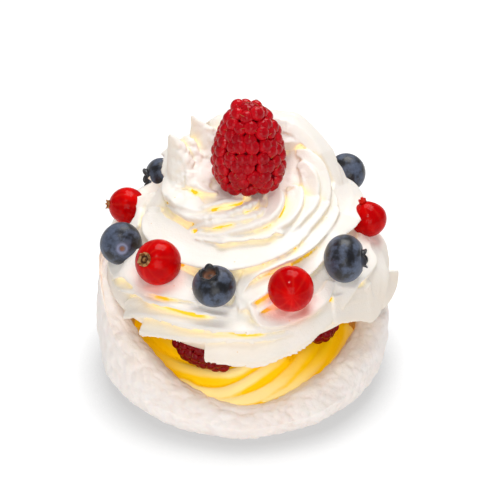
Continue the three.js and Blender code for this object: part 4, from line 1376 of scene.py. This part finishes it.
# %% Drupelet tree
def drupelet_tree():
    """Puts a rounded drupelet and a bent hair on each point, turned to its outward direction."""
    tree, given = new_tree("cover_with_drupelets", {
        "Points": "Geometry", "Height": "Float", "Hair Length": "Float", "Hair Width": "Float",
        "Skin": "Material", "Hair": "Material"}, "Berry")
    out = node(tree, "GeometryNodeInputNamedAttribute", {"Name": "out"},
               data_type="FLOAT_VECTOR").outputs["Attribute"]
    size = node(tree, "GeometryNodeInputNamedAttribute", {"Name": "size"},
                data_type="FLOAT").outputs["Attribute"]
    facing = node(tree, "FunctionNodeAlignRotationToVector", {"Vector": out},
                  axis="Z").outputs[0]

    # a ball that stores how far each vertex is from its axis, made a little lower
    ball = node(tree, "GeometryNodeMeshIcoSphere", {"Radius": 0.5, "Subdivisions": 3}).outputs[0]
    place = node(tree, "GeometryNodeInputPosition").outputs[0]
    flat = node(tree, "ShaderNodeVectorMath", {0: place, 1: (2, 2, 0)},
                operation="MULTIPLY").outputs[0]
    from_axis = node(tree, "ShaderNodeVectorMath", {0: flat}, operation="LENGTH")
    marked = node(tree, "GeometryNodeStoreNamedAttribute", {
        "Geometry": ball, "Name": "rim", "Value": from_axis.outputs["Value"]}).outputs[0]
    tall = node(tree, "ShaderNodeCombineXYZ", {"X": 1.0, "Y": 1.0,
                "Z": given["Height"]}).outputs[0]
    bead = node(tree, "GeometryNodeTransform", {"Geometry": marked, "Scale": tall}).outputs[0]
    beads = node(tree, "GeometryNodeInstanceOnPoints", {"Points": given["Points"],
                 "Instance": bead, "Rotation": facing, "Scale": size}).outputs[0]
    skins = node(tree, "GeometryNodeSetMaterial", {
        "Geometry": beads, "Material": given["Skin"]}).outputs[0]

    # a bent thread, turned at random about the same direction
    spin = node(tree, "FunctionNodeRandomValue", {"Min": (-0.1, -0.1, 0), "Max": (0.1, 0.1, 6.28),
                "Seed": 5}, data_type="FLOAT_VECTOR").outputs[0]
    thread = node(tree, "GeometryNodeCurveQuadraticBezier", {
        "Resolution": 5, "Start": (0, 0, 1.45 * MM), "Middle": (1 * MM, 0, 1.8 * MM),
        "End": (1.9 * MM, 0, 0.8 * MM)}).outputs[0]
    section = node(tree, "GeometryNodeCurvePrimitiveCircle", {
        "Resolution": 3, "Radius": given["Hair Width"]}).outputs[0]
    hair = node(tree, "GeometryNodeCurveToMesh", {
        "Curve": thread, "Profile Curve": section, "Fill Caps": True}).outputs[0]
    twisted = node(tree, "FunctionNodeRotateRotation", {"Rotation": facing, "Rotate By": spin},
                   rotation_space="LOCAL").outputs[0]
    hairs = node(tree, "GeometryNodeInstanceOnPoints", {
        "Points": given["Points"], "Instance": hair, "Rotation": twisted,
        "Scale": given["Hair Length"]}).outputs[0]
    threads = node(tree, "GeometryNodeSetMaterial", {
        "Geometry": hairs, "Material": given["Hair"]}).outputs[0]

    both = node(tree, "GeometryNodeJoinGeometry")
    tree.links.new(threads, both.inputs[0])
    tree.links.new(skins, both.inputs[0])
    real = node(tree, "GeometryNodeRealizeInstances", {0: both.outputs[0]}).outputs[0]
    node(tree, "NodeGroupOutput", {"Berry": real})
    return tree


drupelets = drupelet_tree()
print("nodes in the drupelet tree:", len(drupelets.nodes))

# %% Make a raspberry
HAIR_RADIUS = 0.06
DRUPELET_HEIGHT = 0.92  # share of its width
HAIR_FOR = 3.4  # drupelet width that the hair is drawn for


def turn_to(axis):
    """Matrix that turns +Z to a direction by the shortest way."""
    axis = np.asarray(axis, float) / np.linalg.norm(axis)
    v = np.array([-axis[1], axis[0], 0])
    cross = np.array([[0, 0, v[1]], [0, 0, -v[0]], [-v[1], v[0], 0]])
    return np.eye(3) + cross + cross @ cross / (1 + axis[2])


def raspberry(name, base, axis, shape, seed):
    """A raspberry whose open base is at a point and whose tip lies along an axis."""
    places, outs, sizes = drupelet_points(seed=seed, **shape)
    spin = turn_to(axis)
    berry = mesh_object(name, places @ spin.T + base, [])
    layer = berry.data.attributes.new("out", "FLOAT_VECTOR", "POINT")
    layer.data.foreach_set("vector", (outs @ spin.T).astype(np.float32).ravel())
    paint(berry, "size", sizes * MM)
    set_tree(berry, drupelets, {
        "Height": DRUPELET_HEIGHT, "Hair Length": shape["drupelet"] / HAIR_FOR,
        "Hair Width": HAIR_RADIUS * MM, "Skin": raspberry_finish, "Hair": hair_finish})
    baked(berry)

    u = np.linspace(0, 1, 14)[:, None]
    core = turned((shape["radius"] - shape["drupelet"] * 0.55) * girth(u[:, 0])[:, None],
                  np.arange(0, 360, 15),
                  0.8 + (shape["length"] - shape["drupelet"] - 0.6) * u)
    points, faces = closed_rings(core)
    middle = mesh_object(name + "_core", points @ spin.T + base, faces)
    middle.data.materials.append(raspberry_finish)
    with bpy.context.temp_override(active_object=berry, selected_editable_objects=[berry, middle],
                                   selected_objects=[berry, middle]):
        bpy.ops.object.join()
    return berry


# %% The three raspberries
GAP_REACH = 2.0  # length of the rays that look for gaps between drupelets
RASPBERRIES = [
    # name, CAD node, base, axis, shape, seed, and how much painted shade it gets under the cream
    ("top_raspberry", "raspberry_top", (1.8, 0.5, 57.0), (0, 0, 1), TOP_BERRY, 3, 0.0),
    ("lying_raspberry_left", "raspberry_left", (-15.2, -14.4, 20.6), direction(-40, -12),
     LYING_BERRY, 4, 1.0),
    ("lying_raspberry_right", "raspberry_right", (10.8, -6.2, 21.4), direction(-31, -5),
     LYING_BERRY, 5, 1.0),
]

for name, cad_node, base, axis, shape, seed, shade_under_cream in RASPBERRIES:
    berry = raspberry(name, np.array(base), axis, shape, seed)
    measure_creases(berry, GAP_REACH)
    paint(berry, "shade_under_cream", np.full(len(berry.data.vertices), shade_under_cream))
    hand_over(berry, "raspberry", cad_node)

# %% [markdown]
# ## Blueberries and red currants
#
# Both are balls with a dried flower at one end. The flower is what makes them look real: a
# blueberry ends in a star-shaped crown round a shallow pit, a currant in a small dry tuft. A
# ball of rings is swept from the stalk end to the flower, and each ring is bent by the lobes.

# %% Ring of berries
RING = [
    dict(name="blueberry_1", at=(135.3, 31.4, 47.3), size=10.2, tip=(-168, 2)),
    dict(name="currant_1", at=(166.5, 31.8, 46.4), size=10, tip=(-176, 8), tuft_height=1.3),
    dict(name="blueberry_2", at=(-162, 33.2, 45.4), size=11.2, tip=(98, -15)),
    dict(name="currant_2", at=(-132.3, 31.6, 48), size=11.8, tip=(-133, 33), tuft_radius=1.75,
         tuft_height=0.5),
    dict(name="blueberry_3", at=(-102.2, 33.2, 46.7), size=11.2, tip=(-136, 70)),
    dict(name="currant_3", at=(-69.4, 34.6, 45.8), size=11.6, tip=(92, -14)),
    dict(name="blueberry_4", at=(-38.4, 33.4, 47.3), size=12.4, tip=(-8, 6)),
    dict(name="currant_4", at=(-0.5, 33.6, 46.8), size=9.8, tip=(150, 68), neck=0.3,
         tuft_radius=1.0, tuft_height=1.6, dry=0.15),
    dict(name="blueberry_5", at=(34, 34.8, 49.6), size=10.6, tip=(62, -24)),
    dict(name="currant_5", at=(59, 35.2, 49.6), size=10.8, tip=(80, 30)),
    dict(name="blueberry_6", at=(85, 35.2, 49.8), size=11, tip=(120, 45)),
    dict(name="currant_6", at=(111, 34.4, 48.8), size=10.8, tip=(150, 12)),
]

# %% Berries from rings
def berry_object(name, rings, marks, at, tip, finish):
    """A berry of rings round +Z, turned to its tip, with one painted number for each mark."""
    azimuth, r, z = at
    points, faces = closed_rings(rings)
    points = points @ turn_to(direction(*tip)).T + turned(r, azimuth, z)
    made = mesh_object("ring_" + name, points, faces)
    for mark, values in marks.items():
        flat = np.broadcast_to(values, rings.shape[:2])
        paint(made, mark, np.hstack([flat.ravel(), flat[0].mean(), flat[-1].mean()]))
    dress(made, finish, name.split("_")[0], name)


def flower_rings(rows, width, base, height, lobes):
    """Radii, heights and marks of the rings of a dried flower.

    A row has a radius and what the lobes add to it, the same for its height, and a mark.
    """
    a, b, c, d, mark = (column[:, None] for column in np.array(rows, float).T)
    return width * (a + b * lobes), base + height * (c + d * lobes), mark


# %% Blueberry
CROWN_RADIUS = 2.2
BLUEBERRY_FLAT = 0.86
CROWN = [
    (1.02, 0, -0.15, 0, 0.6), (1, 0.1, 0.15, 0.45, 0.9), (1, 0.22, 0.2, 0.95, 1),
    (0.9, 0.2, 0.25, 1, 1), (0.82, 0, 0.25, 0.45, 1), (0.76, 0, -0.35, 0, 1),
    (0.6, 0, -0.5, 0, 0.9), (0.25, 0, -0.45, 0, 1), (0.12, 0, -0.3, 0, 1),
]
CROWN_FLOOR = [0, 0, 0, 0, 0, 0.5, 1, 0.6, 0.2]  # how brown each ring of the crown is
SCAR_RADIUS = 1.15  # pale ring where the stalk was


def blueberry(name, at, size, tip, seed):
    """A flattened ball with a stalk's scar at one end and a star-shaped crown at the other."""
    rng = np.random.default_rng(seed)
    azimuth = np.arange(0, 360, 5.0)
    turn = np.radians(azimuth)
    half = size / 2
    low = np.radians(np.linspace(-88, 57, 44))[:, None]
    wobble = 1 + 0.02 * np.cos(2 * turn + rng.uniform(0, 6)) + 0.01 * np.cos(3 * turn + seed)
    dent = 0.35 * np.exp(-((np.cos(low) * half / 0.9) ** 2)) * (low < 0)
    lobe = np.abs(np.cos(2.5 * turn + rng.uniform(0, 6))) ** 0.7
    lobe = lobe * (0.75 + 0.35 * rng.random()) * (1 + 0.15 * np.cos(turn + seed))
    crown_r, crown_z, crown_mark = flower_rings(
        CROWN, CROWN_RADIUS, BLUEBERRY_FLAT * half * 0.9, 1.0, lobe)
    r = np.vstack([half * np.cos(low) * wobble, crown_r])
    z = np.vstack([BLUEBERRY_FLAT * half * np.sin(low) + dent + 0 * turn, crown_z])
    dark = np.vstack([0 * low, crown_mark])
    brown = np.vstack([0 * low, np.array(CROWN_FLOOR)[:, None]])
    under = z < 0
    pale = np.exp(-(((np.abs(r) - SCAR_RADIUS) / 0.4) ** 2)) * under
    marks = dict(crown=dark, brown=np.maximum(brown, (np.abs(r) < 0.6) * under),
                 pale=pale * (0.8 if name == "blueberry_2" else 0.3))
    berry_object(name, turned(r, azimuth, z), marks, at, tip, blueberry_finish)


# %% Red currant
TUFT = [
    (1, 0.1, 0, 0, 0.8), (0.95, 0.15, 0.3, 0.15, 1), (0.95, 0.3, 0.45, 0.5, 1),
    (0.7, 0.2, 0.4, 0.4, 1), (0.45, 0.15, 0.2, 0, 1.9), (0.2, 0, 0.3, 0, 1.4),
]


def currant(name, at, size, tip, seed, neck=0.0, tuft_radius=1.1, tuft_height=1.0, dry=1.0):
    """A ball with ten faint veins and a ragged dry tuft. neck draws it in towards the tuft."""
    rng = np.random.default_rng(seed)
    azimuth = np.arange(0, 360, 3.75)
    turn = np.radians(azimuth)
    half = size / 2
    low = np.linspace(math.radians(-88), math.acos(tuft_radius / half) - 0.03, 46)[:, None]
    pear = 1 - neck * np.clip(np.sin(low), 0, 1) ** 2
    ragged = 0.5 + 0.5 * noise(np.stack([np.cos(turn), np.sin(turn)], -1), 0.35, seed)
    sunk = half * math.sqrt(1 - (tuft_radius / half) ** 2) - 0.1
    tuft_r, tuft_z, tuft_mark = flower_rings(TUFT, tuft_radius, sunk, tuft_height, ragged)
    r = np.vstack([half * np.cos(low) * pear + 0 * turn, tuft_r])
    z = np.vstack([half * np.sin(low) + 0 * turn, tuft_z])
    vein = np.abs(np.cos(5 * turn + rng.uniform(0, 6))) ** 14
    vein = vein * (0.4 + 0.6 * np.abs(np.sin(turn + seed)))
    vein = vein * np.vstack([np.abs(np.sin(low)) ** 0.6 * 0.8 + 0.2, 0 * tuft_mark])
    marks = dict(vein=vein, dry=dry * np.vstack([0 * low, tuft_mark]))
    berry_object(name, turned(r, azimuth, z), marks, at, tip, currant_finish)


# %% Make the ring
for seed, entry in enumerate(RING):
    make = blueberry if entry["name"].startswith("blueberry") else currant
    make(seed=seed + 20, **entry)

# %% [markdown]
# ## Peach tint and painted light near the berries
#
# The cream is tinted peach under each currant, and it gets a little painted light close to
# every berry, which lifts the berries' shadows there. Both depend on the distance to the berries,
# so each point of cream is measured against the ring and painted, and the cream's finish does the
# rest.

# %% Peach tint under the currants, and painted light near the berries
PEACH_TINT = dict(currant_1=0.15, currant_2=0.4, currant_3=0.5, currant_4=0.3, currant_5=0.2,
             currant_6=0.2)
CLOSENESS_SPREAD = 2.2
TINT_DROP = 1.5  # the tint lies lower, so it is measured from a berry this much lower


def closeness(points, entry, drop=0.0):
    """1 on a berry's skin, or on that of the berry sunk by drop, and 0 far away from it."""
    azimuth, r, z = entry["at"]
    gap = np.linalg.norm(points - turned(r, azimuth, z - drop), axis=1) - entry["size"] / 2
    return np.exp(-((np.maximum(gap, 0) / CLOSENESS_SPREAD) ** 2))


def peach_tint_on(points):
    """Share of peach tint at each point of the cream: most under a currant and close to it."""
    share = np.zeros(len(points))
    for entry in RING:
        low = np.clip((entry["at"][2] - TINT_DROP + 1 - points[:, 2]) / 4, 0, 1)
        share += PEACH_TINT.get(entry["name"], 0) * low * closeness(points, entry, TINT_DROP)
    return np.clip(share * (1 + 0.6 * noise(points, 2.5, 41)), 0, 0.8)


points = vertices(whipped_cream)
peach_tint = peach_tint_on(points)
paint(whipped_cream, "peach_tint", peach_tint)
# painted light: the cream close to a berry glows a little, which lifts the berry's shadow there
paint(whipped_cream, "painted_light_near_berries", np.max([closeness(points, entry) for entry in RING], axis=0))
print("most juice:", round(float(peach_tint.max()), 2))

# %% [markdown]
# ## Floor
#
# A matt board reflects light evenly and stays pale up to the soft dark edge under the nest. Its
# paint gives a little light of its own, except where the nest is close, so the board stays
# almost white without more lamps, and the dark edge is a painted shadow.

# %% Floor
FLOOR_HALF = 2000  # half of the board's width

corners = [(FLOOR_HALF * x, FLOOR_HALF * y, 0) for x, y in ((-1, -1), (1, -1), (1, 1), (-1, 1))]
floor = mesh_object("floor", corners, [(0, 1, 2, 3)])


def matt_floor(tree):
    """Pale matt board that glows to stay bright, with a painted shadow close to the nest's foot.
    """
    open_sky = node(tree, "ShaderNodeAmbientOcclusion", {"Distance": 16 * MM}, samples=8)
    bright = node(tree, "ShaderNodeMapRange", {"Value": open_sky.outputs["AO"], "From Min": 0.35,
                  "To Min": 0.5, "To Max": 0.93}, interpolation_type="SMOOTHSTEP").outputs[0]
    return {"Base Color": "#7a7a7a", "Roughness": 0.9, "Specular IOR Level": 0.1,
            "Emission Color": "#ffffff", "Emission Strength": bright}


floor_paint = make_finish("pale_matt_floor", matt_floor)
floor.data.materials.append(floor_paint)
print("floor at height 0, paint:", floor_paint.name)

# %% [markdown]
# ## Light
#
# Broad lamps give soft shadows, as windows do. The strongest stands high behind the pavlova and
# shapes the ribbons, a wide one in front opens the shadows, and a small one puts the glints on
# the berries.

# %% Light
world = bpy.data.worlds.new("soft_studio")
bpy.context.scene.world = world
world.use_nodes = True
world.node_tree.nodes["Background"].inputs["Color"].default_value = colour("#ffffff")
world.node_tree.nodes["Background"].inputs["Strength"].default_value = 0.23

LAMP_AIM = 40  # height of the middle of the pavlova


def area_light(name, place, size, power):
    """A square light in millimetres that looks at the middle of the pavlova."""
    lamp = bpy.data.lights.new(name, "AREA")
    lamp.size = size * MM
    lamp.energy = power
    made = bpy.data.objects.new(name, lamp)
    bpy.context.scene.collection.objects.link(made)
    made.location = np.array(place) * MM
    away = np.array(place) - [0, 0, LAMP_AIM]
    made.rotation_euler = Vector(away).to_track_quat("Z", "Y").to_euler()


LAMPS = [
    # name, place, size and power
    ("key", (60, 190, 470), 320, 1.82), ("left", (-400, -160, 260), 300, 0.08),
    ("right", (430, -60, 260), 300, 0.05), ("front", (0, -480, 230), 320, 0.9),
    ("spark", (-60, -220, 460), 60, 0.42),
]
for lamp in LAMPS:
    area_light(*lamp)
print("lamps:", len(LAMPS))

# %% [markdown]
# ## Camera
#
# A long lens from a short distance above shows the pavlova without much perspective. Its sight
# line is turned a little, because the level axis isn't in the middle of the frame.

# %% Camera
CAMERA_ELEVATION = 32
CAMERA_DISTANCE = 452
AIM_HEIGHT = 39.5
FOCAL_PIXELS = 1685.3
FRAME_PIXELS = 500
PRINCIPAL = (242.0, 241.6)  # pixel of the level axis in the frame

tilt = math.radians(CAMERA_ELEVATION)
stand = np.array([0, -CAMERA_DISTANCE * math.cos(tilt), AIM_HEIGHT
                  + CAMERA_DISTANCE * math.sin(tilt)])
ahead = np.array([0, math.cos(tilt), -math.sin(tilt)])
up = np.array([0, math.sin(tilt), math.cos(tilt)])
look = (ahead * FOCAL_PIXELS + np.array([1, 0, 0]) * (FRAME_PIXELS / 2 - PRINCIPAL[0])
        - up * (FRAME_PIXELS / 2 - PRINCIPAL[1]))
lens = bpy.data.cameras.new("camera")
lens.sensor_width = 36
lens.lens = FOCAL_PIXELS / FRAME_PIXELS * lens.sensor_width
lens.clip_start = 0.01
camera = bpy.data.objects.new("camera", lens)
bpy.context.scene.collection.objects.link(camera)
camera.location = stand * MM
camera.rotation_euler = Vector(look).to_track_quat("-Z", "Y").to_euler()
bpy.context.scene.camera = camera
bpy.context.scene.view_settings.view_transform = "Standard"
print("camera at", stand.round(1).tolist(), "in mm, focal length", round(lens.lens, 1))
